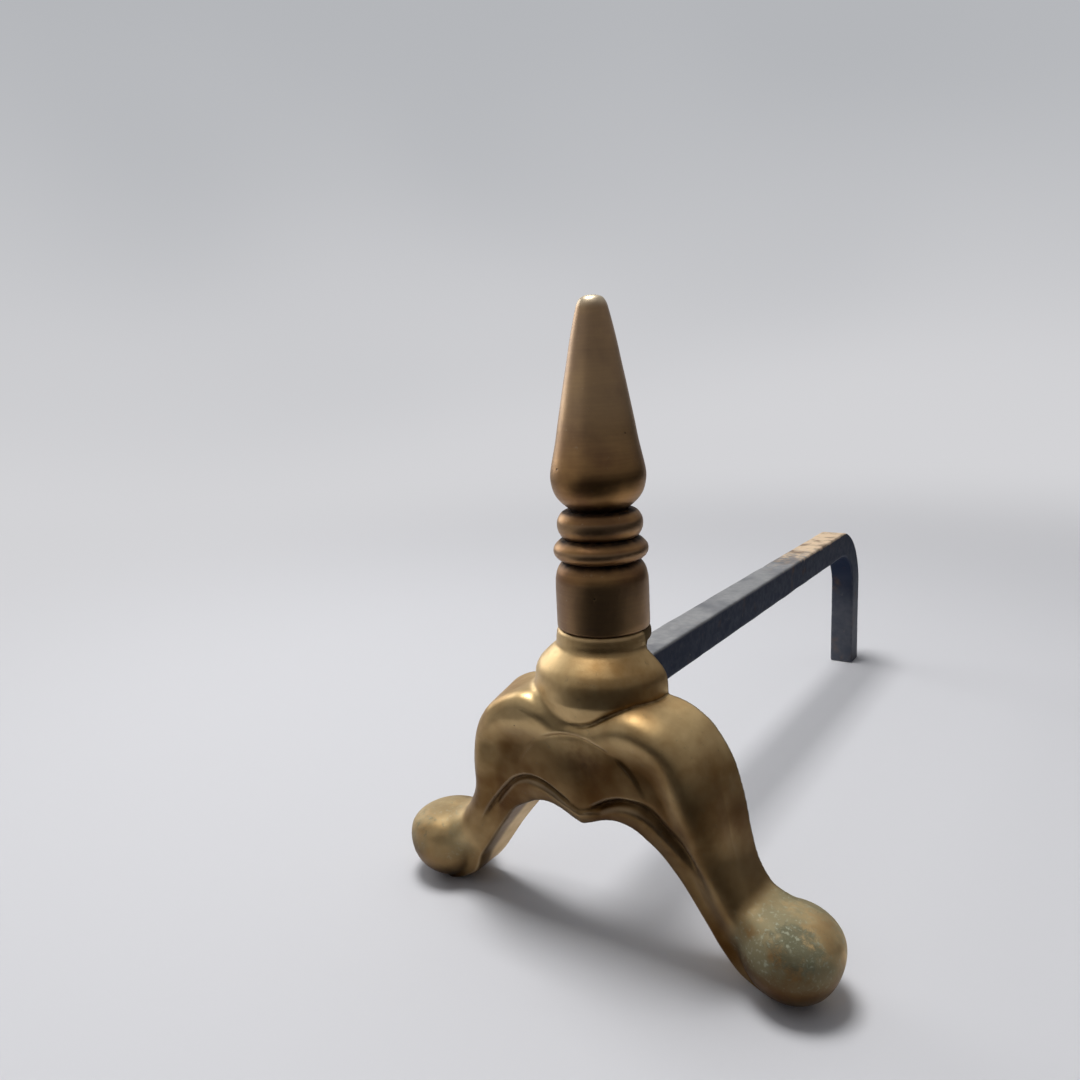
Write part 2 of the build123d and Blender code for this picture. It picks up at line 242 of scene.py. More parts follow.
def beside(line, across, up):
    """Distance from a line, positive on its left."""
    across, up = np.broadcast_arrays(across, up)
    points = np.stack([across.ravel(), up.ravel()], -1)
    start, run = line[:-1], np.diff(line, axis=0)
    size = np.hypot(*run.T)
    distance = np.empty(len(points))
    for part in np.array_split(np.arange(len(points)), len(points) // 20000 + 1):
        gap = points[part, None] - start
        t = np.clip((gap * run).sum(-1) / size**2, 0, 1)
        gap = gap - t[..., None] * run
        k = (gap**2).sum(-1).argmin(1)
        nearest = gap[np.arange(len(part)), k]
        side = run[k, 0] * nearest[:, 1] - run[k, 1] * nearest[:, 0]
        distance[part] = np.copysign(np.hypot(*nearest.T), side)
    return distance.reshape(across.shape)


def ease(value, start, end):
    """Goes smoothly from 0 to 1 as value goes from start to end."""
    s = np.clip((value - start) / (end - start), 0, 1)
    return s * s * (3 - 2 * s)


def meet(a, b, blend):
    """Common space of two fields, with their shared edge rounded over that width."""
    near = np.clip(blend - np.abs(a - b), 0, None)
    return np.maximum(a, b) + near * near / (4 * blend)


def join(a, b, blend):
    """Union of two fields, with a fillet of that width."""
    return -meet(-a, -b, blend)


def rounded(a, b, radius):
    """Common space of two fields that stand square to each other, with a corner of that radius."""
    a, b = a + radius, b + radius
    return np.hypot(np.maximum(a, 0), np.maximum(b, 0)) + np.minimum(np.maximum(a, b), 0) - radius


def ripple(x, y, z, size, seed):
    """Slow, seeded unevenness between about -1 and 1, as a hand leaves it."""
    draw = np.random.default_rng(seed)
    total = 0
    for _ in range(7):
        way = draw.normal(size=3)
        way *= 2 * math.pi / (size * draw.uniform(0.7, 1.6) * np.linalg.norm(way))
        total = total + np.sin(way[0] * x + way[1] * y + way[2] * z + draw.uniform(0, 2 * math.pi))
    return total / 3.5


class Table:
    """Distance from a line, tabled so that many points can look it up."""

    def __init__(self, points, low, high, step=0.3 * MM):
        self.low, self.step = np.array(low), step
        across, up = (np.arange(lo, hi, step) for lo, hi in zip(low, high))
        line = smooth_line(points, 6 * len(points))
        self.table = beside(line, across[:, None], up[None, :])

    def __call__(self, across, up):
        across, up = np.broadcast_arrays(across, up)
        table = self.table
        last = np.array(table.shape) - 1.001
        u = np.clip((across - self.low[0]) / self.step, 0, last[0])
        v = np.clip((up - self.low[1]) / self.step, 0, last[1])
        i, j = u.astype(int), v.astype(int)
        u, v = u - i, v - j
        first = table[i, j] * (1 - v) + table[i, j + 1] * v
        return first * (1 - u) + (table[i + 1, j] * (1 - v) + table[i + 1, j + 1] * v) * u


def skin(field, low, cell):
    """Points and quads of the zero surface of a sampled field: one point in each cell that it crosses."""
    inside = field < 0
    shape = np.array(field.shape) - 1
    total = np.zeros((*shape, 3))
    count = np.zeros(shape)
    quads = []
    for axis in range(3):
        first = [slice(None)] * 3
        second = [slice(None)] * 3
        first[axis] = slice(0, -1)
        second[axis] = slice(1, None)
        a, b = field[tuple(first)], field[tuple(second)]
        crossed = np.argwhere((a < 0) != (b < 0))
        fa, fb = a[tuple(crossed.T)], b[tuple(crossed.T)]
        place = crossed.astype(float)
        place[:, axis] += fa / (fa - fb)
        u, v = (axis + 1) % 3, (axis + 2) % 3
        cells = []
        for du, dv in ((0, 0), (-1, 0), (-1, -1), (0, -1)):
            c = crossed.copy()
            c[:, u] += du
            c[:, v] += dv
            cells.append(c)
            np.add.at(total, tuple(c.T), place)
            np.add.at(count, tuple(c.T), 1)
        turn = inside[tuple(first)][tuple(crossed.T)]
        quads.append((np.stack(cells, 1), turn))
    number = np.full(shape, -1)
    used = count > 0
    number[used] = np.arange(used.sum())
    points = low + cell * total[used] / count[used][:, None]
    faces = []
    for corners, turn in quads:
        q = number[tuple(np.moveaxis(corners, -1, 0))]
        q[~turn] = q[~turn][:, ::-1]
        faces.append(q)
    return points, np.concatenate(faces)


def mark(mesh, name, values):
    """Stores one number for each point of a mesh, for its material to read."""
    attribute = mesh.attributes.new(name, "FLOAT", "POINT")
    attribute.data.foreach_set("value", np.ascontiguousarray(values, np.float32))


def finished(name, mesh, material, body, node):
    """Makes a mesh a piece, with its finish, on its body and in place of its node."""
    mesh.materials.clear()
    mesh.materials.append(material)
    thing = bpy.data.objects.new(name, mesh)
    bpy.context.scene.collection.objects.link(thing)
    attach(thing, body)
    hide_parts(node)


def feel(field, points, step):
    """Value, slope and bend of a field at points."""
    here = field(*points.T)
    slope, bend = np.empty_like(points), -6 * here
    for axis, shift in enumerate(np.eye(3) * step):
        ahead, behind = field(*(points + shift).T), field(*(points - shift).T)
        slope[:, axis] = (ahead - behind) / (2 * step)
        bend = bend + ahead + behind
    return here, slope, bend / step**2


def sampled(field, low, high, cell, sure=3.6 * MM):
    """The field on a grid: all of it coarsely, and finely within the sure distance of its surface."""
    blocks = np.ceil((high - low) / (3 * cell)).astype(int)
    coarse = [lo + (3 * np.arange(n) + 1) * cell for lo, n in zip(low, blocks)]
    grid = field(coarse[0][:, None, None], coarse[1][None, :, None], coarse[2][None, None, :])
    for axis in range(3):
        grid = np.repeat(grid, 3, axis)
    near = np.argwhere(np.abs(grid) < sure)
    grid[tuple(near.T)] = field(*(low + near * cell).T)
    return grid


def sculpt(name, field, low, high, cell):
    """A mesh of the space where field(x, y, z) is below zero, marked with its edges and hollows."""
    low, high = np.array(low) - 3 * cell, np.array(high) + 3 * cell
    points, faces = skin(sampled(field, low, high, cell), low, cell)
    # two steps down the slope bring each point on to the surface
    for _ in range(2):
        away, slope, _ = feel(field, points, 0.4 * cell)
        step = (away / np.clip((slope**2).sum(1), 0.2, None))[:, None] * slope
        points = points - np.clip(step, -cell, cell)
    mesh = bpy.data.meshes.new(name)
    mesh.from_pydata(points.tolist(), [], faces.tolist())
    mesh.shade_smooth()
    mark(mesh, "edge", feel(field, points, cell)[2] * MM)
    for label, values in field.marks(*points.T).items():
        mark(mesh, label, values)
    return mesh


# ---------------------------------------------------------------- metals
# A maths node takes its values at 0, 1 and 2, and a mix of colours its share at 0 and its colours at
# 6 and 7. A pattern's scale is one over its real width.
MATH, MIX, RANGE = "ShaderNodeMath", "ShaderNodeMix", "ShaderNodeMapRange"
NOISE, CELLS, MARK = "ShaderNodeTexNoise", "ShaderNodeTexVoronoi", "ShaderNodeAttribute"
TIMES, TIMES_PLUS = {"operation": "MULTIPLY"}, {"operation": "MULTIPLY_ADD"}
SOFT, COLOURS = {"interpolation_type": "SMOOTHSTEP"}, {"data_type": "RGBA"}


def add(tree, kind, inputs=(), out=0, **settings):
    """Adds a node with its settings; an input is a value or an output to link. Gives back an output."""
    node = tree.nodes.new(kind)
    for name, value in settings.items():
        setattr(node, name, value)
    for name, value in dict(inputs).items():
        if isinstance(value, bpy.types.NodeSocket):
            tree.links.new(value, node.inputs[name])
        else:
            node.inputs[name].default_value = value
    return node.outputs[out] if node.outputs else None


def blank(name):
    """A new material with its tree emptied, and a metal surface linked to its output."""
    material = bpy.data.materials.new(name)
    material.use_nodes = True
    tree = material.node_tree
    tree.nodes.clear()
    surface = add(tree, "ShaderNodeBsdfPrincipled", {"Metallic": 1.0, "Roughness": 0.4})
    add(tree, "ShaderNodeOutputMaterial", {"Surface": surface})
    return material, tree, surface.node.inputs


def paint(value):
    """A colour property as a four-part colour."""
    return (*value, 1.0)


def cast_brass(finish):
    """Sand-cast brass, polished by hand and gone mellow."""
    # a soft golden gloss on the high parts, brown wax and painted shade lower down, dirt and painted
    # shadow in the hollows, green on the feet, dull behind
    material, tree, surface = blank("hand-polished cast brass")
    place = add(tree, "ShaderNodeTexCoord", out="Object")
    edge, grime, tarnish, foot, raw, recess = (
        add(tree, MARK, out="Fac", attribute_name=name)
        for name in ("edge", "grime", "tarnish", "foot", "raw", "recess")
    )
    fine = add(tree, NOISE, {"Vector": place, "Scale": 1 / (5 * MM), "Detail": 6.0})
    fine = add(tree, RANGE, {0: fine, "From Min": 0.35, "From Max": 0.68}, **SOFT)
    # polished gold to mellow brown, in clouds the width of two thumbs
    cloud = add(tree, NOISE, {"Vector": place, "Scale": 1 / (42 * MM), "Detail": 4.0})
    cloud = add(tree, RANGE, {0: cloud, "From Min": 0.36, "From Max": 0.66}, **SOFT)
    brown = add(tree, MATH, {0: cloud, 1: 0.75}, **TIMES)
    brown = add(tree, MATH, {0: fine, 1: 0.15, 2: brown}, **TIMES_PLUS)
    tone = add(tree, MIX, {0: brown, 6: paint(finish.cast), 7: paint(finish.cast_brown)}, 2, **COLOURS)
    # brown wax and painted shade below the crest, low on the legs and balls, under the arch and down the
    # flanks
    wax_shade_share = add(tree, MATH, {0: cloud, 1: 0.25, 2: 0.75}, **TIMES_PLUS)
    wax_shade_share = add(tree, MATH, {0: wax_shade_share, 1: recess}, **TIMES)
    tone = add(tree, MIX, {0: wax_shade_share, 6: tone, 7: paint(finish.recess)}, 2, **COLOURS)
    # worn arrises are brighter
    crest = add(tree, RANGE, {0: edge, "From Min": 0.14, "From Max": 0.8, "To Max": 0.16}, **SOFT)
    tone = add(tree, MIX, {0: crest, 6: tone, 7: paint(finish.worn)}, 2, **COLOURS)
    # hollows keep dirt; painted shadow in the crease under the bell and painted shade in the dish and
    # under the arch come in with it
    dirt_and_shade = add(tree, RANGE, {0: edge, "From Min": -0.16, "From Max": -1.1, "To Max": 0.6}, **SOFT)
    dirt_and_shade = add(tree, MATH, {0: dirt_and_shade, 1: grime}, operation="MAXIMUM")
    patchy = add(tree, MATH, {0: fine, 1: 0.5, 2: 0.5}, **TIMES_PLUS)
    dirt_and_shade = add(tree, MATH, {0: dirt_and_shade, 1: patchy}, **TIMES)
    tone = add(tree, MIX, {0: dirt_and_shade, 6: tone, 7: paint(finish.hollow)}, 2, **COLOURS)
    # pinholes of the sand mould, about 0.8 mm wide and here and there
    hole = add(tree, CELLS, {"Vector": place, "Scale": 1 / (7 * MM)})
    chosen = add(tree, "ShaderNodeSeparateColor", {0: hole.node.outputs["Color"]})
    chosen = add(tree, RANGE, {0: chosen, "From Min": 0.62, "From Max": 0.78}, **SOFT)
    hole = add(tree, RANGE, {0: hole, "From Min": 0.03, "From Max": 0.07, "To Min": 1.0, "To Max": 0.0})
    hole = add(tree, MATH, {0: hole, 1: chosen}, **TIMES)
    specked = add(tree, MATH, {0: hole, 1: 0.7}, **TIMES)
    tone = add(tree, MIX, {0: specked, 6: tone, 7: paint(finish.hollow)}, 2, **COLOURS)
    # tarnish: an olive film over the balls, verdigris in patches on it, and chalky specks in those
    worn_film = add(tree, NOISE, {"Vector": place, "Scale": 1 / (13 * MM), "Detail": 5.0})
    worn_film = add(tree, RANGE, {0: worn_film, "From Min": 0.30, "From Max": 0.56}, **SOFT)
    worn_film = add(tree, MATH, {0: worn_film, 1: foot}, **TIMES)
    worn_film = add(tree, MATH, {0: worn_film, 1: 0.85}, **TIMES)
    tone = add(tree, MIX, {0: worn_film, 6: tone, 7: paint(finish.film)}, 2, **COLOURS)
    green = add(tree, NOISE, {"Vector": place, "Scale": 1 / (3.4 * MM), "Detail": 8.0, "Roughness": 0.7})
    green = add(tree, MATH, {0: tarnish, 1: 0.34, 2: green}, **TIMES_PLUS)
    green = add(tree, RANGE, {0: green, "From Min": 0.58, "From Max": 0.84, "To Max": 0.85}, **SOFT)
    tone = add(tree, MIX, {0: green, 6: tone, 7: paint(finish.green)}, 2, **COLOURS)
    chalk = add(tree, NOISE, {"Vector": place, "Scale": 1 / (1.7 * MM), "Detail": 5.0})
    chalk = add(tree, RANGE, {0: chalk, "From Min": 0.52, "From Max": 0.72, "To Max": 0.8}, **SOFT)
    chalk = add(tree, MATH, {0: chalk, 1: worn_film}, **TIMES)
    tone = add(tree, MIX, {0: chalk, 6: tone, 7: paint(finish.chalk)}, 2, **COLOURS)
    # behind: as it came from the sand
    dull = add(tree, NOISE, {"Vector": place, "Scale": 1 / (9 * MM), "Detail": 8.0})
    dull = add(tree, RANGE, {0: dull, "From Min": 0.3, "From Max": 0.7}, **SOFT)
    behind = add(tree, MIX, {0: dull, 6: paint(finish.rough), 7: paint(finish.hollow)}, 2, **COLOURS)
    rawness = add(tree, MATH, {0: raw, 1: 0.85}, **TIMES)
    tone = add(tree, MIX, {0: rawness, 6: tone, 7: behind}, 2, **COLOURS)
    tree.links.new(tone, surface["Base Color"])
    # brown, dirt and painted shade, green, film and the raw back are each duller than the polished brass
    gloss = add(tree, MATH, {0: brown, 1: 0.08, 2: 0.42}, **TIMES_PLUS)
    gloss = add(tree, MATH, {0: dirt_and_shade, 1: 0.2, 2: gloss}, **TIMES_PLUS)
    gloss = add(tree, MATH, {0: green, 1: 0.35, 2: gloss}, **TIMES_PLUS)
    gloss = add(tree, MATH, {0: worn_film, 1: 0.25, 2: gloss}, **TIMES_PLUS)
    gloss = add(tree, MATH, {0: raw, 1: 0.3, 2: gloss}, **TIMES_PLUS)
    tree.links.new(gloss, surface["Roughness"])
    metal = add(tree, MATH, {0: green, 1: -0.7, 2: 1.0}, **TIMES_PLUS)
    metal = add(tree, MATH, {0: dirt_and_shade, 1: -0.15, 2: metal}, **TIMES_PLUS)
    metal = add(tree, MATH, {0: worn_film, 1: -0.7, 2: metal}, **TIMES_PLUS)
    tree.links.new(metal, surface["Metallic"])
    # grain of the sand, drawn 1 mm wide so that it shows: faint in front, strong behind and on the
    # green; soft swells left by the file; and the pinholes
    grain = add(tree, NOISE, {"Vector": place, "Scale": 1 / (1.1 * MM), "Detail": 3.0})
    swell = add(tree, NOISE, {"Vector": place, "Scale": 1 / (6 * MM), "Detail": 2.0})
    strength = add(tree, MATH, {0: raw, 1: 0.3, 2: 0.06}, **TIMES_PLUS)
    strength = add(tree, MATH, {0: green, 1: 0.3, 2: strength}, **TIMES_PLUS)
    height = add(tree, MATH, {0: grain, 1: strength}, **TIMES)
    height = add(tree, MATH, {0: swell, 1: 0.16, 2: height}, **TIMES_PLUS)
    height = add(tree, MATH, {0: hole, 1: -0.35, 2: height}, **TIMES_PLUS)
    bump = add(tree, "ShaderNodeBump", {"Strength": 0.8, "Distance": 0.6 * MM, "Height": height})
    tree.links.new(bump, surface["Normal"])
    return material


def turned_brass(finish):
    """Brass turned on a lathe, left satin and aged brown."""
    # faint rings of the tool round the axis, browner than the casting, a painted highlight on the worn tip
    # and up the cone, and painted shade in the necks
    material, tree, surface = blank("satin turned brass")
    place = add(tree, "ShaderNodeTexCoord", out="Object")
    grime = add(tree, MARK, out="Fac", attribute_name="grime")
    wear = add(tree, MARK, out="Fac", attribute_name="wear")
    level = add(tree, "ShaderNodeSeparateXYZ", {0: place}, "Z")
    fine = add(tree, NOISE, {"Vector": place, "Scale": 1 / (4 * MM), "Detail": 6.0})
    fine = add(tree, RANGE, {0: fine, "From Min": 0.35, "From Max": 0.65}, **SOFT)
    cloud = add(tree, NOISE, {"Vector": place, "Scale": 1 / (26 * MM), "Detail": 4.0})
    cloud = add(tree, RANGE, {0: cloud, "From Min": 0.36, "From Max": 0.66}, **SOFT)
    # streaks that follow the lathe: this noise is squeezed along the axis
    squeezed = add(tree, "ShaderNodeVectorMath", {0: place, 1: (1, 1, 14)}, **TIMES)
    streak = add(tree, NOISE, {"Vector": squeezed, "Scale": 1 / (16 * MM), "Detail": 4.0})
    streak = add(tree, RANGE, {0: streak, "From Min": 0.35, "From Max": 0.65, "To Max": 0.14}, **SOFT)
    brown = add(tree, MATH, {0: cloud, 1: 0.7, 2: streak}, **TIMES_PLUS)
    tone = add(tree, MIX, {0: brown, 6: paint(finish.turned), 7: paint(finish.turned_brown)}, 2, **COLOURS)
    speck = add(tree, NOISE, {"Vector": place, "Scale": 1 / (2.4 * MM), "Detail": 5.0})
    speck = add(tree, RANGE, {0: speck, "From Min": 0.66, "From Max": 0.76, "To Max": 0.12}, **SOFT)
    # specks and wear, with a painted highlight on the finial's tip and cone
    rubbed = add(tree, MATH, {0: speck, 1: wear}, operation="ADD")
    tone = add(tree, MIX, {0: rubbed, 6: tone, 7: paint(finish.worn)}, 2, **COLOURS)
    # grime with painted shade in the column's necks, at the ends where pieces meet and at the finial's
    # foot
    patchy = add(tree, MATH, {0: fine, 1: 0.4, 2: 0.6}, **TIMES_PLUS)
    dirt_and_shade = add(tree, MATH, {0: grime, 1: patchy}, **TIMES)
    tone = add(tree, MIX, {0: dirt_and_shade, 6: tone, 7: paint(finish.hollow)}, 2, **COLOURS)
    # a few dark pits, 1 mm wide
    pit = add(tree, CELLS, {"Vector": place, "Scale": 1 / (9 * MM)})
    chosen = add(tree, "ShaderNodeSeparateColor", {0: pit.node.outputs["Color"]})
    chosen = add(tree, RANGE, {0: chosen, "From Min": 0.6, "From Max": 0.8}, **SOFT)
    pit = add(tree, RANGE, {0: pit, "From Min": 0.03, "From Max": 0.08, "To Min": 1.0, "To Max": 0.0})
    pit = add(tree, MATH, {0: pit, 1: chosen}, **TIMES)
    specked = add(tree, MATH, {0: pit, 1: 0.8}, **TIMES)
    tone = add(tree, MIX, {0: specked, 6: tone, 7: paint(finish.hollow)}, 2, **COLOURS)
    tree.links.new(tone, surface["Base Color"])
    gloss = add(tree, MATH, {0: brown, 1: 0.08, 2: 0.38}, **TIMES_PLUS)
    gloss = add(tree, MATH, {0: dirt_and_shade, 1: 0.3, 2: gloss}, **TIMES_PLUS)
    tree.links.new(gloss, surface["Roughness"])
    metal = add(tree, MATH, {0: dirt_and_shade, 1: -0.45, 2: 1.0}, **TIMES_PLUS)
    tree.links.new(metal, surface["Metallic"])
    # tool rings about 0.5 mm apart, uneven as a hand-fed tool leaves them
    drift = add(tree, NOISE, {"Vector": place, "Scale": 1 / (30 * MM)})
    ring = add(tree, MATH, {0: drift, 1: 1.5 * MM, 2: level}, **TIMES_PLUS)
    ring = add(tree, MATH, {0: ring, 1: 2 * math.pi / (0.55 * MM)}, **TIMES)
    ring = add(tree, MATH, {0: ring}, operation="SINE")
    grain = add(tree, NOISE, {"Vector": place, "Scale": 1 / (3.0 * MM), "Detail": 4.0})
    relief = add(tree, MATH, {0: ring, 1: 0.012, 2: grain}, **TIMES_PLUS)
    relief = add(tree, MATH, {0: pit, 1: -2.0, 2: relief}, **TIMES_PLUS)
    bump = add(tree, "ShaderNodeBump", {"Strength": 0.3, "Distance": 0.2 * MM, "Height": relief})
    tree.links.new(bump, surface["Normal"])
    return material


def forged_iron(finish):
    """Wrought iron, forged and blackened by fire."""
    # blue-black scale on the sides, grey rubbed iron on top, a little rust, a pale burnt patch
    material, tree, surface = blank("fire-blackened wrought iron")
    surface["Specular IOR Level"].default_value = 0.18
    place = add(tree, "ShaderNodeTexCoord", out="Object")
    edge = add(tree, MARK, out="Fac", attribute_name="edge")
    rubbed = add(tree, MARK, out="Fac", attribute_name="rubbed")
    burnt = add(tree, MARK, out="Fac", attribute_name="burnt")
    fine = add(tree, NOISE, {"Vector": place, "Scale": 1 / (3.5 * MM), "Detail": 6.0})
    fine = add(tree, RANGE, {0: fine, "From Min": 0.32, "From Max": 0.68}, **SOFT)
    rusty = add(tree, NOISE, {"Vector": place, "Scale": 1 / (16 * MM), "Detail": 8.0})
    rusty = add(tree, RANGE, {0: rusty, "From Min": 0.58, "From Max": 0.74, "To Max": 0.6}, **SOFT)
    tone = add(tree, MIX, {0: rusty, 6: paint(finish.scale), 7: paint(finish.rust)}, 2, **COLOURS)
    cloud = add(tree, NOISE, {"Vector": place, "Scale": 1 / (30 * MM), "Detail": 5.0})
    cloud = add(tree, RANGE, {0: cloud, "From Min": 0.3, "From Max": 0.6, "To Min": 0.55}, **SOFT)
    top = add(tree, MATH, {0: fine, 1: 0.2, 2: 0.8}, **TIMES_PLUS)
    top = add(tree, MATH, {0: top, 1: cloud}, **TIMES)
    top = add(tree, MATH, {0: top, 1: rubbed}, **TIMES)
    tone = add(tree, MIX, {0: top, 6: tone, 7: paint(finish.bare)}, 2, **COLOURS)
    # burnt patch: whole in its middle, broken into flecks at its ends
    pale = add(tree, NOISE, {"Vector": place, "Scale": 1 / (5 * MM), "Detail": 8.0, "Roughness": 0.6})
    pale = add(tree, MATH, {0: burnt, 1: 0.75, 2: pale}, **TIMES_PLUS)
    pale = add(tree, RANGE, {0: pale, "From Min": 0.62, "From Max": 1.12, "To Max": 0.9}, **SOFT)
    toast = add(tree, NOISE, {"Vector": place, "Scale": 1 / (9 * MM), "Detail": 6.0})
    toast = add(tree, RANGE, {0: toast, "From Min": 0.45, "From Max": 0.68, "To Max": 0.75}, **SOFT)
    ashes = add(tree, MIX, {0: toast, 6: paint(finish.ash), 7: paint(finish.rust)}, 2, **COLOURS)
    tone = add(tree, MIX, {0: pale, 6: tone, 7: ashes}, 2, **COLOURS)
    # worn arrises, and chips 1 to 3 mm wide where the scale has come off
    crest = add(tree, RANGE, {0: edge, "From Min": 0.35, "From Max": 1.2, "To Max": 0.3}, **SOFT)
    crest = add(tree, MATH, {0: crest, 1: fine}, **TIMES)
    tone = add(tree, MIX, {0: crest, 6: tone, 7: paint(finish.bare)}, 2, **COLOURS)
    chip = add(tree, CELLS, {"Vector": place, "Scale": 1 / (12 * MM)})
    chosen = add(tree, "ShaderNodeSeparateColor", {0: chip.node.outputs["Color"]})
    chosen = add(tree, RANGE, {0: chosen, "From Min": 0.62, "From Max": 0.76}, **SOFT)
    chip = add(tree, RANGE, {0: chip, "From Min": 0.05, "From Max": 0.13, "To Min": 1.0, "To Max": 0.0})
    chip = add(tree, MATH, {0: chip, 1: chosen}, **TIMES)
    chipped = add(tree, MATH, {0: chip, 1: top}, **TIMES)
    tone = add(tree, MIX, {0: chipped, 6: tone, 7: paint(finish.worn)}, 2, **COLOURS)
    tree.links.new(tone, surface["Base Color"])
    dry = add(tree, MATH, {0: rusty, 1: pale}, operation="MAXIMUM")
    gloss = add(tree, MATH, {0: fine, 1: 0.1, 2: 0.52}, **TIMES_PLUS)
    gloss = add(tree, MATH, {0: dry, 1: 0.25, 2: gloss}, **TIMES_PLUS)
    tree.links.new(gloss, surface["Roughness"])
    metal = add(tree, MATH, {0: dry, 1: -0.3, 2: 0.3}, **TIMES_PLUS)
    metal = add(tree, MATH, {0: top, 1: 0.1, 2: metal}, **TIMES_PLUS)
    tree.links.new(metal, surface["Metallic"])
    grain = add(tree, NOISE, {"Vector": place, "Scale": 1 / (2.2 * MM), "Detail": 5.0})
    flake = add(tree, NOISE, {"Vector": place, "Scale": 1 / (7 * MM), "Detail": 3.0})
    flake = add(tree, RANGE, {0: flake, "From Min": 0.48, "From Max": 0.56, "To Max": 0.35}, **SOFT)
    relief = add(tree, MATH, {0: grain, 1: 0.45, 2: flake}, **TIMES_PLUS)
    relief = add(tree, MATH, {0: chip, 1: -0.5, 2: relief}, **TIMES_PLUS)
    bump = add(tree, "ShaderNodeBump", {"Strength": 0.35, "Distance": 0.3 * MM, "Height": relief})
    tree.links.new(bump, surface["Normal"])
    return material


def blackened_steel(finish):
    """Steel hardware, blackened in oil and dulled by soot."""
    # dark and half dull, with a little rust and bare metal
    material, tree, surface = blank("blackened steel hardware")
    place = add(tree, "ShaderNodeTexCoord", out="Object")
    rusty = add(tree, NOISE, {"Vector": place, "Scale": 1 / (5 * MM), "Detail": 6.0})
    rusty = add(tree, RANGE, {0: rusty, "From Min": 0.50, "From Max": 0.68, "To Max": 0.6}, **SOFT)
    tone = add(tree, MIX, {0: rusty, 6: paint(finish.steel), 7: paint(finish.rust)}, 2, **COLOURS)
    bright = add(tree, NOISE, {"Vector": place, "Scale": 1 / (2.5 * MM), "Detail": 4.0})
    bright = add(tree, RANGE, {0: bright, "From Min": 0.58, "From Max": 0.70, "To Max": 0.35}, **SOFT)
    tone = add(tree, MIX, {0: bright, 6: tone, 7: paint(finish.bare)}, 2, **COLOURS)
    tree.links.new(tone, surface["Base Color"])
    gloss = add(tree, MATH, {0: rusty, 1: 0.4, 2: 0.4}, **TIMES_PLUS)
    tree.links.new(gloss, surface["Roughness"])
    metal = add(tree, MATH, {0: rusty, 1: -0.8, 2: 0.9}, **TIMES_PLUS)
    tree.links.new(metal, surface["Metallic"])
    grain = add(tree, NOISE, {"Vector": place, "Scale": 1 / (1.2 * MM), "Detail": 4.0})
    bump = add(tree, "ShaderNodeBump", {"Strength": 0.4, "Distance": 0.15 * MM, "Height": grain})
    tree.links.new(bump, surface["Normal"])
    return material


FINISH_MAKERS = {
    "hand-polished cast brass": cast_brass,
    "satin turned brass": turned_brass,
    "fire-blackened wrought iron": forged_iron,
    "blackened steel hardware": blackened_steel,
}


def finish_of(context, name):
    """The material of that name, made the first time that it is asked for."""
    made = bpy.data.materials.get(name)
    return made or FINISH_MAKERS[name](context.scene.andiron_finishes)


# ---------------------------------------------------------------- the cast stand
# Which way the worn flat low on a ball's outside faces: outwards, forwards and up.
WORN_WAY = (0.72, -0.42, -0.55)
# Middle of the verdigris on a ball, from the ball's centre: outwards, forwards and up.
VERDIGRIS = (7 * MM, 15.5 * MM, 11.5 * MM)


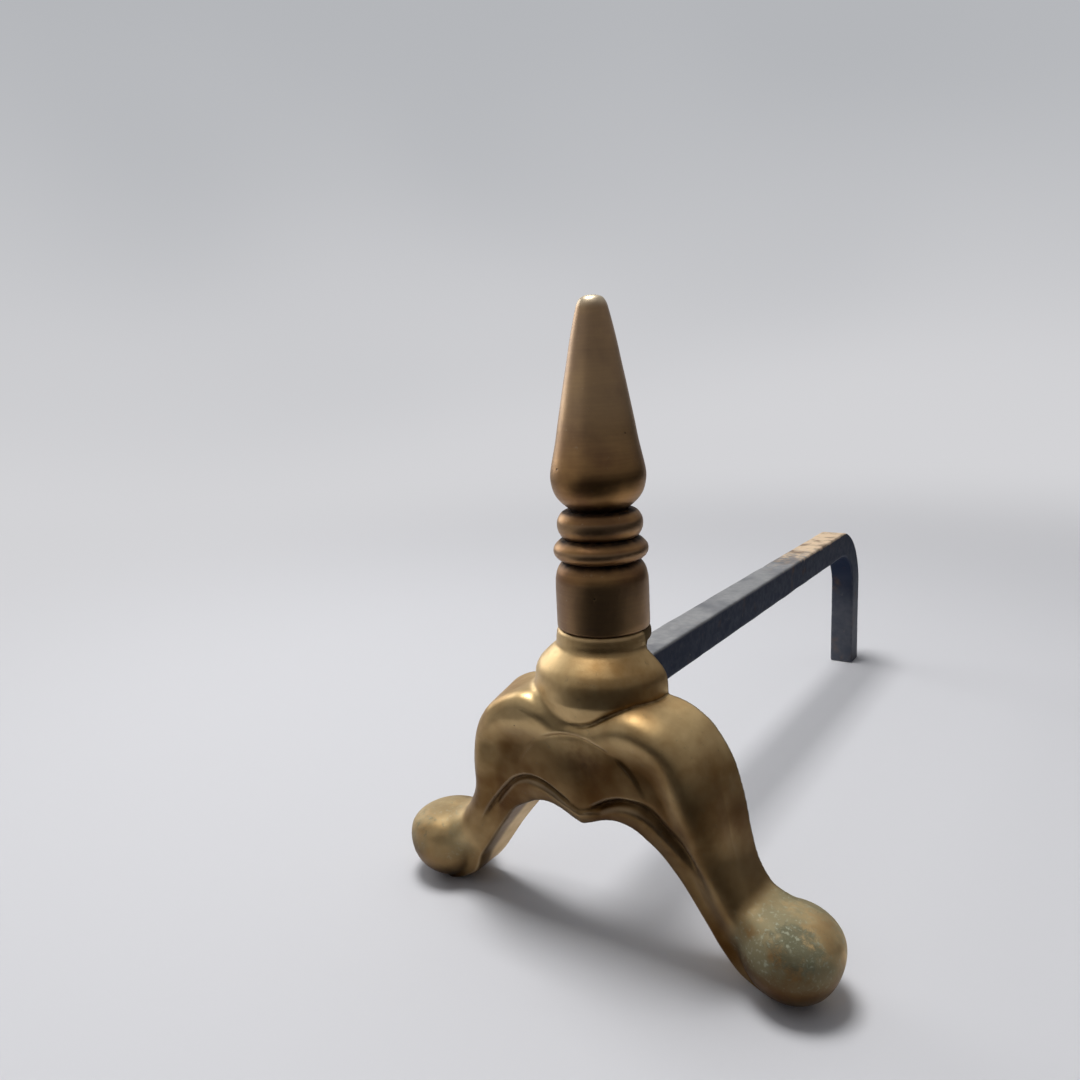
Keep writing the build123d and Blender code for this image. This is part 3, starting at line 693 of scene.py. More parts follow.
class StandForm:
    """The casting's shape as one field, with its lines worked out once."""

    def __init__(self, sizes, eye):
        self.s = sizes
        # the lines are tabled a little past the casting: seen from the front, and the bell's half profile
        reach = (-1 * MM, -5 * MM), (118 * MM, 146 * MM)
        self.arch, self.knee, self.rim = (Table(t, *reach) for t in (ARCH_EDGE, KNEE_EDGE, RIM_GROOVE))
        reach = (0, 85 * MM), (90 * MM, 147 * MM)
        self.cap, self.cap_foot = (Table(t, *reach) for t in (BELL_PROFILE, BELL_FOOT))
        self.axis_y = axis_of("plinth")
        low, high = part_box("leg_casting")
        self.lip_top = high.z
        self.foot_x = high.x - sizes.ball
        self.foot_forward = self.axis_y - (low.y + sizes.ball)
        self.eye_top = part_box("washer")[1].z + eye
        self.rod_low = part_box("tie_rod")[0].z

    def front_depth(self, x, z, q, e, g):
        """Depth of the front's face where the leg rolls, the rim swells and the groove is cut."""
        s = self.s
        a = np.abs(x)
        crest = s.crotch + (s.knee - s.crotch) * (1 - np.exp(-((a / (14 * MM)) ** 2)))
        # from the crest a bevel falls to the apron: wide at the shoulder, narrow at the shin, and
        # further in on the left shoulder
        wide = 27 * MM - 4 * MM * ease(z, 90 * MM, 60 * MM)
        ridge = 5 * MM + 5 * MM * ease(z, 95 * MM, 75 * MM)
        ridge = ridge + 7 * MM * ease(x, -12 * MM, -28 * MM) * ease(z, 84 * MM, 98 * MM)
        depth = s.apron + (crest - s.apron) * ease(q, wide, ridge)
        # the shins fall back towards the ankles
        drop = s.shin_drop * ease(z, 76 * MM, 34 * MM) * ease(a, 26 * MM, 52 * MM)
        depth = depth - drop
        # the shield, raised a little on the apron, with a shallow dish
        inside = s.shield - np.hypot(a, z - s.shield_z)
        inside = np.minimum(inside, g + 0.3 * MM)
        face = s.shield_face - s.shield_lean * ease(z, 96 * MM, 66 * MM)
        face = face - s.dish * np.exp(-((a / (10 * MM)) ** 2) - ((z - 86 * MM) / (8 * MM)) ** 2)
        step = 1.1 * MM
        depth = depth + (face - depth) * ease(inside, -step, step)
        # the inner edge falls back to the rim
        edge = s.rim_edge + (s.shin_edge - s.rim_edge) * ease(a, 20 * MM, 45 * MM)
        fall = np.clip(1 - e / (15 * MM), 0, 1) ** 2
        depth = depth - (s.apron - drop - edge) * fall
        # the rim swells between the arch and the groove, less down the shins
        on_rim = np.clip(e / np.maximum(e - g, 1e-5), 0, 1) * (g < 0)
        fade = 1 - ease(z, 58 * MM, 36 * MM)
        shin = ease(a, 24 * MM, 36 * MM)
        swell = s.rim_roll * fade * (1 - 0.7 * shin) * np.sin(math.pi * on_rim**1.8)
        depth = depth + swell * (g < 0)
        # the mould was worked by hand: the groove is bolder on the right, and opens into a valley
        # down the right shin
        right = ease(x, -6 * MM, 10 * MM)
        valley = shin * ease(x, 0, 10 * MM)
        width = np.where(g < 0, 2.4 * MM, 1.3 * MM + 1.7 * MM * valley)
        width = width * (0.6 + 0.4 * right)
        bold = 0.65 + 0.5 * right
        cut = s.groove * bold * np.exp(-((g / width) ** 2)) * ease(a, 2.5 * MM, 11 * MM) * fade
        return depth - cut

    def knee_crest(self, a, z):
        """How far the front lies below its crest, from 0 on the crest to 1 on the apron, where the casting
        is painted in shade.
        """
        q, e = -self.knee(a, z), self.arch(a, z)
        return np.maximum(ease(q, 11 * MM, 25 * MM), 0.8 * ease(e, 12 * MM, 5 * MM))

    def near_ball(self, a, z):
        """Distance from the ball's middle, seen from the front."""
        return np.hypot(a - self.foot_x, z - self.s.ball_rise)

    def legs(self, x, a, d, z):
        """The two cabriole legs and the apron, without the feet."""
        s = self.s
        e, q, g = self.arch(a, z), -self.knee(a, z), self.rim(a, z)
        # the face slopes, so it is a little nearer than the depth says
        front = (d - self.front_depth(x, z, q, e, g)) * 0.92
        # outer faces narrow to the front; the left leg is squarer at its shoulder
        left = ease(x, -8 * MM, -30 * MM) * ease(z, 60 * MM, 106 * MM)
        taper = 0.06 + 0.21 * ease(a, 26 * MM, 50 * MM) - 0.12 * ease(z, 60 * MM, 40 * MM)
        taper = taper * (1 - 0.3 * left)
        outer = (taper * d - q) / np.sqrt(1 + taper**2)
        body = meet(front, outer, s.leg_round - (s.leg_round - s.left_round) * left)
        # the left leg's inner face leans outwards to the front
        splay = s.splay * ease(x, -22 * MM, -40 * MM) * ease(z, 66 * MM, 48 * MM)
        splay = splay * ease(z, 8 * MM, 20 * MM)
        inner = splay * np.clip(d / (20 * MM), 0, 1) - e
        return meet(meet(body, inner, s.arris), -d, s.arris)

    def bell(self, r, d, z):
        """The half-round cap with its foot, sliced flat behind."""
        cap_low, foot_low = BELL_FOOT[0][1] * MM, BELL_FOOT[-1][1] * MM
        solid = np.where(z > cap_low, self.cap(r, z), self.cap_foot(r, z))
        return meet(np.maximum(solid, foot_low - z), -d, 1.0 * MM)

    def outside(self, x, y, z):
        """Legs with their feet, and the bell, as two fields."""
        s = self.s
        a = np.sqrt(x * x + (0.4 * MM) ** 2)
        d = self.axis_y - y
        uneven = ripple(x, y, z, 17 * MM, 3) * 0.10 * MM + 0.10 * MM
        legs = self.legs(x, a, d, z) + uneven
        # the ball, with its crown flattened and a worn flat low on its outside
        out, fore, up = a - self.foot_x, d - self.foot_forward, z - s.ball_rise
        ball = np.sqrt(out**2 + fore**2 + up**2) - (s.ball - 0.15 * MM)
        ball = meet(ball + uneven * 0.6, z + 0.12 * out - s.ball_top, 9 * MM)
        worn = WORN_WAY[0] * out + WORN_WAY[1] * fore + WORN_WAY[2] * up
        ball = meet(ball, worn - s.ball + s.ball_wear, 6 * MM)
        # the ankle flows into the top of the ball and meets its sides in a tighter line
        ankle = 1.6 * MM + 5.0 * MM * ease(z - 0.4 * out, 28 * MM, 42 * MM)
        legs = join(meet(legs, out, 6 * MM), ball, ankle)
        return legs, self.bell(np.hypot(x, d), d, z)

    def marks(self, x, y, z):
        """Wax and painted shade low down and in the recessed parts, dirt in the cut lines with painted
        shadow and shade, tarnish on the feet, and the raw back.
        """
        s = self.s
        a, d = np.abs(x), self.axis_y - y
        legs, bell = self.outside(x, y, z)
        from_ball = self.near_ball(a, z)
        front = ease(d, 10 * MM, 14 * MM)
        right = ease(x, -5 * MM, 5 * MM)
        under = ease(self.arch(a, z), 4 * MM, 0.5 * MM) * ease(z, 22 * MM, 34 * MM)
        # brown wax and painted shade: below the crest, low on the shins and the balls, under the arch, and
        # down the flanks
        shade_and_wax = np.maximum(self.knee_crest(a, z), 0.8 * ease(z, 104 * MM, 66 * MM))
        shade_and_wax = shade_and_wax * (0.3 + 0.7 * ease(from_ball, 20 * MM, 28 * MM))
        shade_and_wax = np.maximum(shade_and_wax, ease(z, s.ball_rise + 12 * MM, s.ball_rise - 4 * MM))
        shade_and_wax = np.maximum(shade_and_wax, under)
        flank = ease(-self.knee(a, z), 7 * MM, 2 * MM) * ease(z, 92 * MM, 70 * MM)
        flank = 0.9 * flank * ease(from_ball, 20 * MM, 27 * MM)
        # dirt in the groove and at the seat; painted shadow in the crease under the bell, more on its
        # right; painted shade in the dish and under the arch
        valley = ease(x, 20 * MM, 36 * MM)
        groove_width = 0.9 * MM + 1.6 * MM * valley
        groove = np.exp(-((self.rim(a, z) / groove_width) ** 2)) * ease(z, 32 * MM, 50 * MM)
        groove = groove * (0.3 + 0.3 * valley)
        crease = np.exp(-(legs**2 + bell**2) / (0.8 * MM) ** 2) * (0.1 + 0.7 * ease(x, -6 * MM, 8 * MM))
        dish = np.exp(-((x - 3 * MM) ** 2 + (z - 87 * MM) ** 2) / (9 * MM) ** 2) * 0.45
        seat = ease(z, self.lip_top - 1.0 * MM, self.lip_top - 0.2 * MM) * 0.5
        grime = (np.maximum(groove, crease) + dish + 0.45 * under) * front + seat
        # tarnish: verdigris on the front of the balls and a film over them, both more on the right
        green = np.sqrt(
            (a - self.foot_x - VERDIGRIS[0]) ** 2 + (d - self.foot_forward - VERDIGRIS[1]) ** 2
            + 1.6 * (z - s.ball_rise - VERDIGRIS[2]) ** 2
        )
        film = ease(from_ball, 25 * MM, 17 * MM) * ease(z, 12 * MM, 25 * MM)
        # raw: the flat back, less on the balls, and all that lies inside the casting's outline
        flat_back = ease(d, 1.5 * MM, 0.5 * MM) * (0.3 + 0.7 * ease(from_ball, 17 * MM, 23 * MM))
        hidden = (legs < -0.8 * MM) | (bell < -0.8 * MM)
        return {
            "recess": np.maximum(shade_and_wax * front, flank),
            "grime": np.clip(grime, 0, 1),
            "tarnish": ease(green, 17 * MM, 5 * MM) * (0.3 + 0.7 * right),
            "foot": film * (0.45 + 0.55 * right),
            "raw": np.maximum(flat_back, hidden.astype(float)),
        }

    def __call__(self, x, y, z):
        s = self.s
        d = self.axis_y - y
        r = np.hypot(x, d)
        legs, bell = self.outside(x, y, z)
        # where the bell meets the legs: a soft fillet on its left, a crease from the mould on its right
        fillet = 0.5 * MM + 4.0 * MM * ease(x, 2 * MM, -10 * MM)
        crease = 0.5 * MM * np.exp(-(bell**2 + legs**2) / (0.7 * MM) ** 2) * ease(x, -9 * MM, 6 * MM)
        body = join(legs, bell, fillet) + crease * ease(d, 2 * MM, 6 * MM)
        # seen from behind: the bell is hollow, and a pocket takes the bar's eye and the nut
        hollow = self.bell(r + s.wall, np.maximum(d, 0) + 1 * MM, z + 1.2 * MM)
        hollow = np.maximum(hollow, 100 * MM - z)
        pocket_low, pocket_high = self.rod_low - 18 * MM, self.eye_top + 2 * MM
        middle, half = (pocket_low + pocket_high) / 2, (pocket_high - pocket_low) / 2
        pocket = rounded(np.abs(x) - s.pocket_half, np.abs(z - middle) - half, 8 * MM)
        pocket = meet(pocket, d - s.pocket_depth, 3 * MM)
        body = meet(body, -join(hollow, pocket, 1.5 * MM), s.arris)
        # the boss between the bar's eye and the lip
        boss_middle, boss_half = (self.eye_top + self.lip_top) / 2, (self.lip_top - self.eye_top) / 2
        boss = meet(r - s.boss, np.abs(z - boss_middle) - boss_half, 0.4 * MM)
        body = join(body, boss, 1.5 * MM)
        # the lip that the column stands on
        half = s.lip_height / 2
        lip = rounded(r - s.lip, np.abs(z - self.lip_top + half) - half, 2.6 * MM)
        body = join(body, lip, 3.6 * MM)
        # the rod's hole, above the pocket's middle alone, and level ends at the lip and the floor
        body = meet(body, np.minimum(s.rod_hole - r, z - middle), 0.5 * MM)
        return np.maximum(np.maximum(body, z - self.lip_top), -z)


class ANDIRON_OT_cast_stand(bpy.types.Operator):
    """Sculpts the one-piece casting: two legs on ball feet, apron with shield, bell and lip"""

    bl_idname = "andiron.cast_stand"
    bl_label = "Cast stand"

    def execute(self, context):
        sizes = context.scene.andiron_stand
        low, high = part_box("leg_casting")
        form = StandForm(sizes, context.scene.andiron_bar.eye)
        mesh = sculpt("cast_stand", form, low, high, sizes.cell)
        brass = finish_of(context, "hand-polished cast brass")
        finished("cast_stand", mesh, brass, "stand", "leg_casting")
        return {"FINISHED"}


# ---------------------------------------------------------------- turned pieces
def turning_tree():
    """Geometry nodes that turn an outline about the z axis, with a thread or flats where asked for."""
    tree = bpy.data.node_groups.new("turning", "GeometryNodeTree")
    sockets = (
        ("Outline", "NodeSocketGeometry", None), ("Sides", "NodeSocketInt", 96),
        ("Axis Y", "NodeSocketFloat", 0.0), ("Pitch", "NodeSocketFloat", 1.0),
        ("Thread", "NodeSocketFloat", 0.0), ("Flats", "NodeSocketFloat", 100.0),
        ("Finish", "NodeSocketMaterial", None),
    )
    for name, kind, default in sockets:
        socket = tree.interface.new_socket(name, in_out="INPUT", socket_type=kind)
        if default is not None:
            socket.default_value = default
    tree.interface.new_socket("Geometry", in_out="OUTPUT", socket_type="NodeSocketGeometry")
    given = tree.nodes.new("NodeGroupInput").outputs
    # a sheet with a row for each point of the outline, and a column for each side and one to close it
    rows = add(tree, "GeometryNodeAttributeDomainSize", {0: given["Outline"]}, "Point Count")
    columns = add(tree, MATH, {0: given["Sides"], 1: 1.0}, operation="ADD")
    sheet = add(tree, "GeometryNodeMeshGrid", {"Vertices X": columns, "Vertices Y": rows}, "Mesh")
    # half a step is added before the division, so that rounding can't move a point to the next column
    number = add(tree, "GeometryNodeInputIndex")
    column = add(tree, MATH, {0: number, 1: 0.5}, operation="ADD")
    column = add(tree, MATH, {0: column, 1: rows}, operation="DIVIDE")
    column = add(tree, MATH, {0: column}, operation="FLOOR")
    row = add(tree, MATH, {0: column, 1: rows}, **TIMES)
    row = add(tree, MATH, {0: number, 1: row}, operation="SUBTRACT")
    spot = add(tree, "GeometryNodeInputPosition")
    point = add(
        tree, "GeometryNodeSampleIndex", {"Geometry": given["Outline"], "Index": row, "Value": spot},
        "Value", data_type="FLOAT_VECTOR",
    )
    radius = add(tree, "ShaderNodeSeparateXYZ", {0: point}, "X")
    height = radius.node.outputs["Z"]
    around = add(tree, MATH, {0: column, 1: given["Sides"]}, operation="DIVIDE")
    # the thread: a zigzag along the height that comes round once in each pitch
    climb = add(tree, MATH, {0: height, 1: given["Pitch"]}, operation="DIVIDE")
    climb = add(tree, MATH, {0: climb, 1: around}, operation="SUBTRACT")
    cut = add(tree, MATH, {0: climb, 1: 0.5}, operation="PINGPONG")
    cut = add(tree, MATH, {0: cut, 1: 2.0}, **TIMES)
    cut = add(tree, MATH, {0: cut, 1: given["Thread"]}, **TIMES)
    cut = add(tree, MATH, {0: 1.0, 1: cut}, operation="SUBTRACT")
    radius = add(tree, MATH, {0: radius, 1: cut}, **TIMES)
    # the flats of a square nut: the angle from the middle of the nearest of its four
    off = add(tree, MATH, {0: around, 1: 4.0, 2: 0.5}, **TIMES_PLUS)
    off = add(tree, MATH, {0: off}, operation="FRACT")
    off = add(tree, MATH, {0: off, 1: 0.5}, operation="SUBTRACT")
    off = add(tree, MATH, {0: off, 1: math.pi / 2}, **TIMES)
    flat = add(tree, MATH, {0: off}, operation="COSINE")
    flat = add(tree, MATH, {0: given["Flats"], 1: flat}, operation="DIVIDE")
    radius = add(tree, MATH, {0: radius, 1: flat}, operation="MINIMUM")
    angle = add(tree, MATH, {0: around, 1: 2 * math.pi}, **TIMES)
    across = add(tree, MATH, {0: angle}, operation="COSINE")
    across = add(tree, MATH, {0: radius, 1: across}, **TIMES)
    along = add(tree, MATH, {0: angle}, operation="SINE")
    along = add(tree, MATH, {0: radius, 1: along, 2: given["Axis Y"]}, **TIMES_PLUS)
    place = add(tree, "ShaderNodeCombineXYZ", {0: across, 1: along, 2: height})
    # the seam and the poles close up, and sharp edges stay sharp
    shape = add(tree, "GeometryNodeSetPosition", {0: sheet, "Position": place})
    shape = add(tree, "GeometryNodeMergeByDistance", {0: shape, "Distance": 0.002 * MM})
    shape = add(tree, "GeometryNodeSetShadeSmooth", {0: shape, "Shade Smooth": True})
    fold = add(tree, "GeometryNodeInputMeshEdgeAngle")
    sharp = add(tree, "FunctionNodeCompare", {0: fold, 1: math.radians(35)}, operation="GREATER_THAN")
    shape = add(
        tree, "GeometryNodeSetShadeSmooth", {0: shape, "Selection": sharp, "Shade Smooth": False},
        domain="EDGE",
    )
    shape = add(tree, "GeometryNodeRealizeInstances", {0: shape})
    shape = add(tree, "GeometryNodeSetMaterial", {0: shape, "Material": given["Finish"]})
    add(tree, "NodeGroupOutput", {0: shape})
    return tree


def turn(name, outline, material, axis_y, **settings):
    """Turns an outline, points of (radius, height) in metres, into a closed mesh."""
    tree = bpy.data.node_groups.get("turning") or turning_tree()
    line = bpy.data.meshes.new(name + "_outline")
    line.from_pydata([(r, 0, z) for r, z in outline], [], [])
    blank_piece = bpy.data.objects.new(name + "_outline", line)
    bpy.context.scene.collection.objects.link(blank_piece)
    modifier = blank_piece.modifiers.new("turning", "NODES")
    modifier.node_group = tree
    values = {"Finish": material, "Axis Y": axis_y} | settings
    for item in tree.interface.items_tree:
        if item.name in values:
            modifier[item.identifier] = values[item.name]
    depsgraph = bpy.context.evaluated_depsgraph_get()
    mesh = bpy.data.meshes.new_from_object(blank_piece.evaluated_get(depsgraph))
    mesh.name = name
    blank_piece.modifiers.clear()
    bpy.data.objects.remove(blank_piece)
    return mesh


def positions(mesh):
    """The points of a mesh as an array."""
    co = np.empty(len(mesh.vertices) * 3, np.float32)
    mesh.vertices.foreach_get("co", co)
    return co.reshape(-1, 3)


def axis_of(node):
    """Where the axis of a round node stands, along y."""
    low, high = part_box(node)
    return (low.y + high.y) / 2


def sleeve(side, base, bore):
    """A closed outline: outwards over the side, then down through a bore with broken edges."""
    side = smooth_line(side, 64)
    chamfer = 0.5 * MM
    top = side[-1, 1]
    hole = [(bore + chamfer, top), (bore, top - chamfer), (bore, chamfer), (bore + chamfer, 0)]
    points = np.concatenate([side, hole, side[:1]])
    return [(r, base + z) for r, z in points]


class ANDIRON_OT_column(bpy.types.Operator):
    """Turns the plinth and the two rings that stand on the casting's lip"""

    bl_idname = "andiron.column"
    bl_label = "Plinth and rings"

    def execute(self, context):
        sizes = context.scene.andiron_turned
        brass = finish_of(context, "satin turned brass")
        sides = {"plinth": PLINTH_SIDE, "lower_ring": LOWER_RING_SIDE, "upper_ring": UPPER_RING_SIDE}
        for node, side in sides.items():
            low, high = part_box(node)
            axis_y = axis_of(node)
            outline = sleeve(side, low.z, sizes.bore)
            mesh = turn("turned_" + node, outline, brass, axis_y, Sides=sizes.sides)
            x, y, z = positions(mesh).T
            r = np.hypot(x, y - axis_y)
            widest = max(r)
            nearest_end = np.minimum(z - low.z, high.z - z)
            # painted shade where the outline sinks in from its widest and at the ends where the pieces
            # meet; a little wear on the widest part
            sunk = ease(widest - r, 0.8 * MM, 4 * MM)
            mark(mesh, "grime", np.clip(sunk + 0.6 * ease(nearest_end, 0.9 * MM, 0.2 * MM), 0, 1))
            mark(mesh, "wear", 0.12 * ease(widest - r, 0.5 * MM, 0))
            finished("turned_" + node, mesh, brass, "stand", node)
        return {"FINISHED"}


class ANDIRON_OT_finial(bpy.types.Operator):
    """Turns the steeple finial, with its tapped hole"""

    bl_idname = "andiron.finial"
    bl_label = "Finial"

    def execute(self, context):
        sizes = context.scene.andiron_turned
        brass = finish_of(context, "satin turned brass")
        low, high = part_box("finial")
        axis_y = axis_of("finial")
        side = smooth_line(FINIAL_SIDE, 150)
        bore, chamfer = sizes.tapping, 0.7 * MM
        point = sizes.tapped_depth + bore * 0.55
        rows = np.arange(chamfer, sizes.tapped_depth, sizes.pitch / 6)
        hole = [(0, point), *((bore, z) for z in rows[::-1]), (bore + chamfer, 0)]
        outline = [(r, low.z + z) for r, z in np.concatenate([hole, side])]
        mesh = turn("steeple_finial", outline, brass, axis_y, Sides=sizes.sides)
        x, y, z = positions(mesh).T
        r = np.hypot(x, y - axis_y)
        up = z - low.z
        # painted shade at the foot where the finial sits on the ring, and darker in the tapped hole
        foot = ease(up, 4.5 * MM, 0.5 * MM)
        inside = (r < bore + 0.5 * MM) & (up < sizes.tapped_depth + 3 * MM)
        mark(mesh, "grime", np.maximum(foot, inside * 0.6))
        # the tip is worn bright with a painted highlight on it, and the cone is lightened as a painted
        # highlight
        mark(mesh, "wear", 0.65 * ease(up, 83 * MM, 88 * MM) + 0.18 * ease(up, 14 * MM, 50 * MM))
        finished("steeple_finial", mesh, brass, "finial", "finial")
        return {"FINISHED"}


class ANDIRON_OT_hardware(bpy.types.Operator):
    """Makes the threaded tie rod, its washer and its nut"""

    bl_idname = "andiron.hardware"
    bl_label = "Rod, washer and nut"

    def execute(self, context):
        sizes = context.scene.andiron_turned
        steel = finish_of(context, "blackened steel hardware")
        axis_y = axis_of("tie_rod")
        # rod: a row of points in each sixth of the pitch carries the thread, between turned-down ends
        low, high = (corner.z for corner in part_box("tie_rod"))
        end = 0.8 * MM
        rows = np.arange(low + end, high - end, sizes.pitch / 6)
        outline = [(0, low), (sizes.rod - end, low), *((sizes.rod, z) for z in rows)]
        outline += [(sizes.rod - end, high), (0, high)]
        rod = turn("threaded_rod", outline, steel, axis_y, Sides=30, Pitch=sizes.pitch,
                   Thread=sizes.thread)
        finished("threaded_rod", rod, steel, "stand", "tie_rod")
        # washer: stamped, so its upper edge is rounded and its lower edge has a burr
        low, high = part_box("washer")
        rim, thick = (high.x - low.x) / 2, high.z - low.z
        side = ((rim - 0.1 * MM, 0), (rim, 0.25 * thick), (rim - 0.1 * MM, 0.7 * thick),
                (rim - 0.5 * MM, 0.97 * thick), (rim - 1.2 * MM, thick), (sizes.bore + 0.4 * MM, thick),
                (sizes.bore, 0.8 * thick), (sizes.bore, 0), (rim - 0.1 * MM, 0))
        washer = turn("stamped_washer", [(r, low.z + z) for r, z in side], steel, axis_y, Sides=72)
        finished("stamped_washer", washer, steel, "stand", "washer")
        # nut: square, flat where it bears on the washer, its corners turned down to a cone below
        low, high = (corner.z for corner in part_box("nut"))
        face = sizes.flats - 0.35 * MM
        slope = np.linspace(face, sizes.corners, 7)
        drop = (slope - face) * math.tan(math.radians(30))
        bore, broken = sizes.tapping, 0.6 * MM
        side = [(bore, low + broken), (bore + broken, low)]
        side += [(r, low + h) for r, h in zip(slope, drop)]
        side += [(sizes.corners, high - broken / 2), (sizes.corners - broken / 2, high)]
        side += [(bore + broken, high), (bore, high - broken), (bore, low + broken)]
        nut = turn("square_nut", side, steel, axis_y, Sides=96, Flats=sizes.flats)
        finished("square_nut", nut, steel, "stand", "nut")
        return {"FINISHED"}


# ---------------------------------------------------------------- the forged bar
class BarForm:
    """The bar's shape as one field: flattened eye, bar, bend and rear leg."""

    def __init__(self, sizes):
        self.s = sizes
        low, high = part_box("billet_bar")
        self.axis_y = axis_of("plinth")
        self.top = high.z
        self.back = high.y - self.axis_y
        self.left = low.x
        self.eye_right = high.x
        self.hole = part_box("tie_rod")[1].x + 0.25 * MM
        # each hammer blow: its place, on the top, the sides or the underside, its width and its depth
        draw = np.random.default_rng(11)
        count = 90
        reach = self.back + sizes.eye_reach
        self.blows = np.stack([
            draw.uniform(self.left, self.left + sizes.width, count),
            draw.uniform(self.axis_y, self.axis_y + reach, count),
            self.top - draw.choice([0.0, 0.5, 1.0], count) * sizes.height,
            draw.uniform(3.5, 8.0, count) * MM,
            draw.uniform(0.03, 0.12, count) * MM,
        ], 1)

    def __call__(self, x, y, z):
        s = self.s
        v = y - self.axis_y
        low_share = ease(v, s.shoulder, s.shoulder - 11 * MM)
        top = self.top - s.eye_step * ease(v, s.shoulder + 1 * MM, s.shoulder - 4 * MM)
        bottom = self.top - s.height + (s.height - s.eye_step - s.eye) * low_share
        # side view: outer and inner line, with the bend
        outer = rounded(v - self.back, z - top, s.bend)
        inner = rounded(v - self.back + s.leg, z - bottom, s.crook)
        side = np.maximum(outer, -inner)
        # from above: the eye spreads to the right, so that its hole comes under the column
        right = self.left + s.width
        right = right + (self.eye_right - right) * ease(v, s.shoulder, s.shoulder - 13 * MM)
        half, middle = (right - self.left) / 2, (right + self.left) / 2
        plan = rounded(np.abs(x - middle) - half, -v - s.eye_reach, s.eye_corner)
        body = meet(side, plan, s.arris)
        body = meet(body, -z, 0.8 * MM)
        body = meet(body, self.hole - np.hypot(x, v), 0.5 * MM)
        # uneven from the hammer: slow waves and shallow blows, all of them inwards
        body = body + (ripple(x, y, z, 26 * MM, 5) + 1.8) * 0.08 * MM * s.dents
        for bx, by, bz, size, deep in self.blows:
            away = (x - bx) ** 2 + (y - by) ** 2 + (z - bz) ** 2
            body = body + deep * s.dents * np.exp(-away / size**2)
        return body

    def marks(self, x, y, z):
        """Where logs have rubbed the top, and where it is burnt pale, each from 0 to 1."""
        v = y - self.axis_y
        upper = ease(z, self.top - 2.2 * MM, self.top - 0.6 * MM) * ease(v, 20 * MM, 30 * MM)
        upper = np.maximum(upper, 0.3 * ease(v, 360 * MM, 375 * MM) * ease(z, 85 * MM, 45 * MM))
        hot = ease(v, 190 * MM, 340 * MM) * ease(v, 392 * MM, 366 * MM)
        hot = hot * ease(z, self.top - 2.6 * MM, self.top - 1.2 * MM)
        return {"rubbed": upper, "burnt": hot}


class ANDIRON_OT_billet_bar(bpy.types.Operator):
    """Forges the billet bar with its eye, its bend and its rear leg"""

    bl_idname = "andiron.billet_bar"
    bl_label = "Billet bar"

    def execute(self, context):
        sizes = context.scene.andiron_bar
        low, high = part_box("billet_bar")
        mesh = sculpt("forged_bar", BarForm(sizes), low, high, sizes.cell)
        iron = finish_of(context, "fire-blackened wrought iron")
        finished("forged_bar", mesh, iron, "stand", "billet_bar")
        return {"FINISHED"}


# ---------------------------------------------------------------- studio
class StageSizes(bpy.types.PropertyGroup):
    """Camera, sweep and lights."""

    camera: FloatVectorProperty(
        name="Camera", description="Where the camera stands", default=(0.19353, -0.50073, 0.25415),
        subtype="TRANSLATION", unit="LENGTH",
    )
    yaw: FloatProperty(name="Yaw", description="Turn to the left", default=0.61956, unit="ROTATION")
    pitch: FloatProperty(name="Pitch", description="Look down", default=0.19887, unit="ROTATION")
    roll: FloatProperty(name="Roll", description="Tilt", default=-0.0523, unit="ROTATION")
    lens: FloatProperty(name="Lens", description="Focal length in mm", default=29.073, unit="CAMERA")
    sensor: FloatProperty(name="Sensor", description="Width of the sensor in mm", default=36.0)
    sweep: length("Sweep", "Radius of the flat floor", 900)
    sweep_bend: length("Sweep bend", "Radius at which the floor turns up", 2400)
    sky: FloatProperty(name="Sky", description="Strength of the soft light around", default=0.5)
    key: FloatProperty(name="Key", description="Power of the overhead light", default=16.6, unit="POWER")
    key_place: FloatVectorProperty(
        name="Key place", description="Where the overhead light hangs", default=(-0.26, -0.1, 1.5),
        subtype="TRANSLATION", unit="LENGTH",
    )
    key_size: length("Key size", "Side of the overhead light", 520)
    window: FloatProperty(
        name="Window", description="Power of the light at the left", default=8.0, unit="POWER"
    )
    window_place: FloatVectorProperty(
        name="Window place", description="Where the light at the left hangs", default=(-1.7, 0.25, 0.75),
        subtype="TRANSLATION", unit="LENGTH",
    )
    window_size: length("Window size", "Side of the light at the left", 1000)
    aim: FloatVectorProperty(
        name="Aim", description="Where both lights point", default=(0.0, -0.1, 0.1),
        subtype="TRANSLATION", unit="LENGTH",
    )


# Two sides on which the sweep is dim, so that the metal has something dark to mirror.
RIGHT_SIDE = (1.0, 0.07, 0.0)
NEAR_SIDE = (0.35, -0.94, 0.0)
# Where the bright part of the sky lies.
SKY_SIDE = (-0.70, 0.58, 0.42)


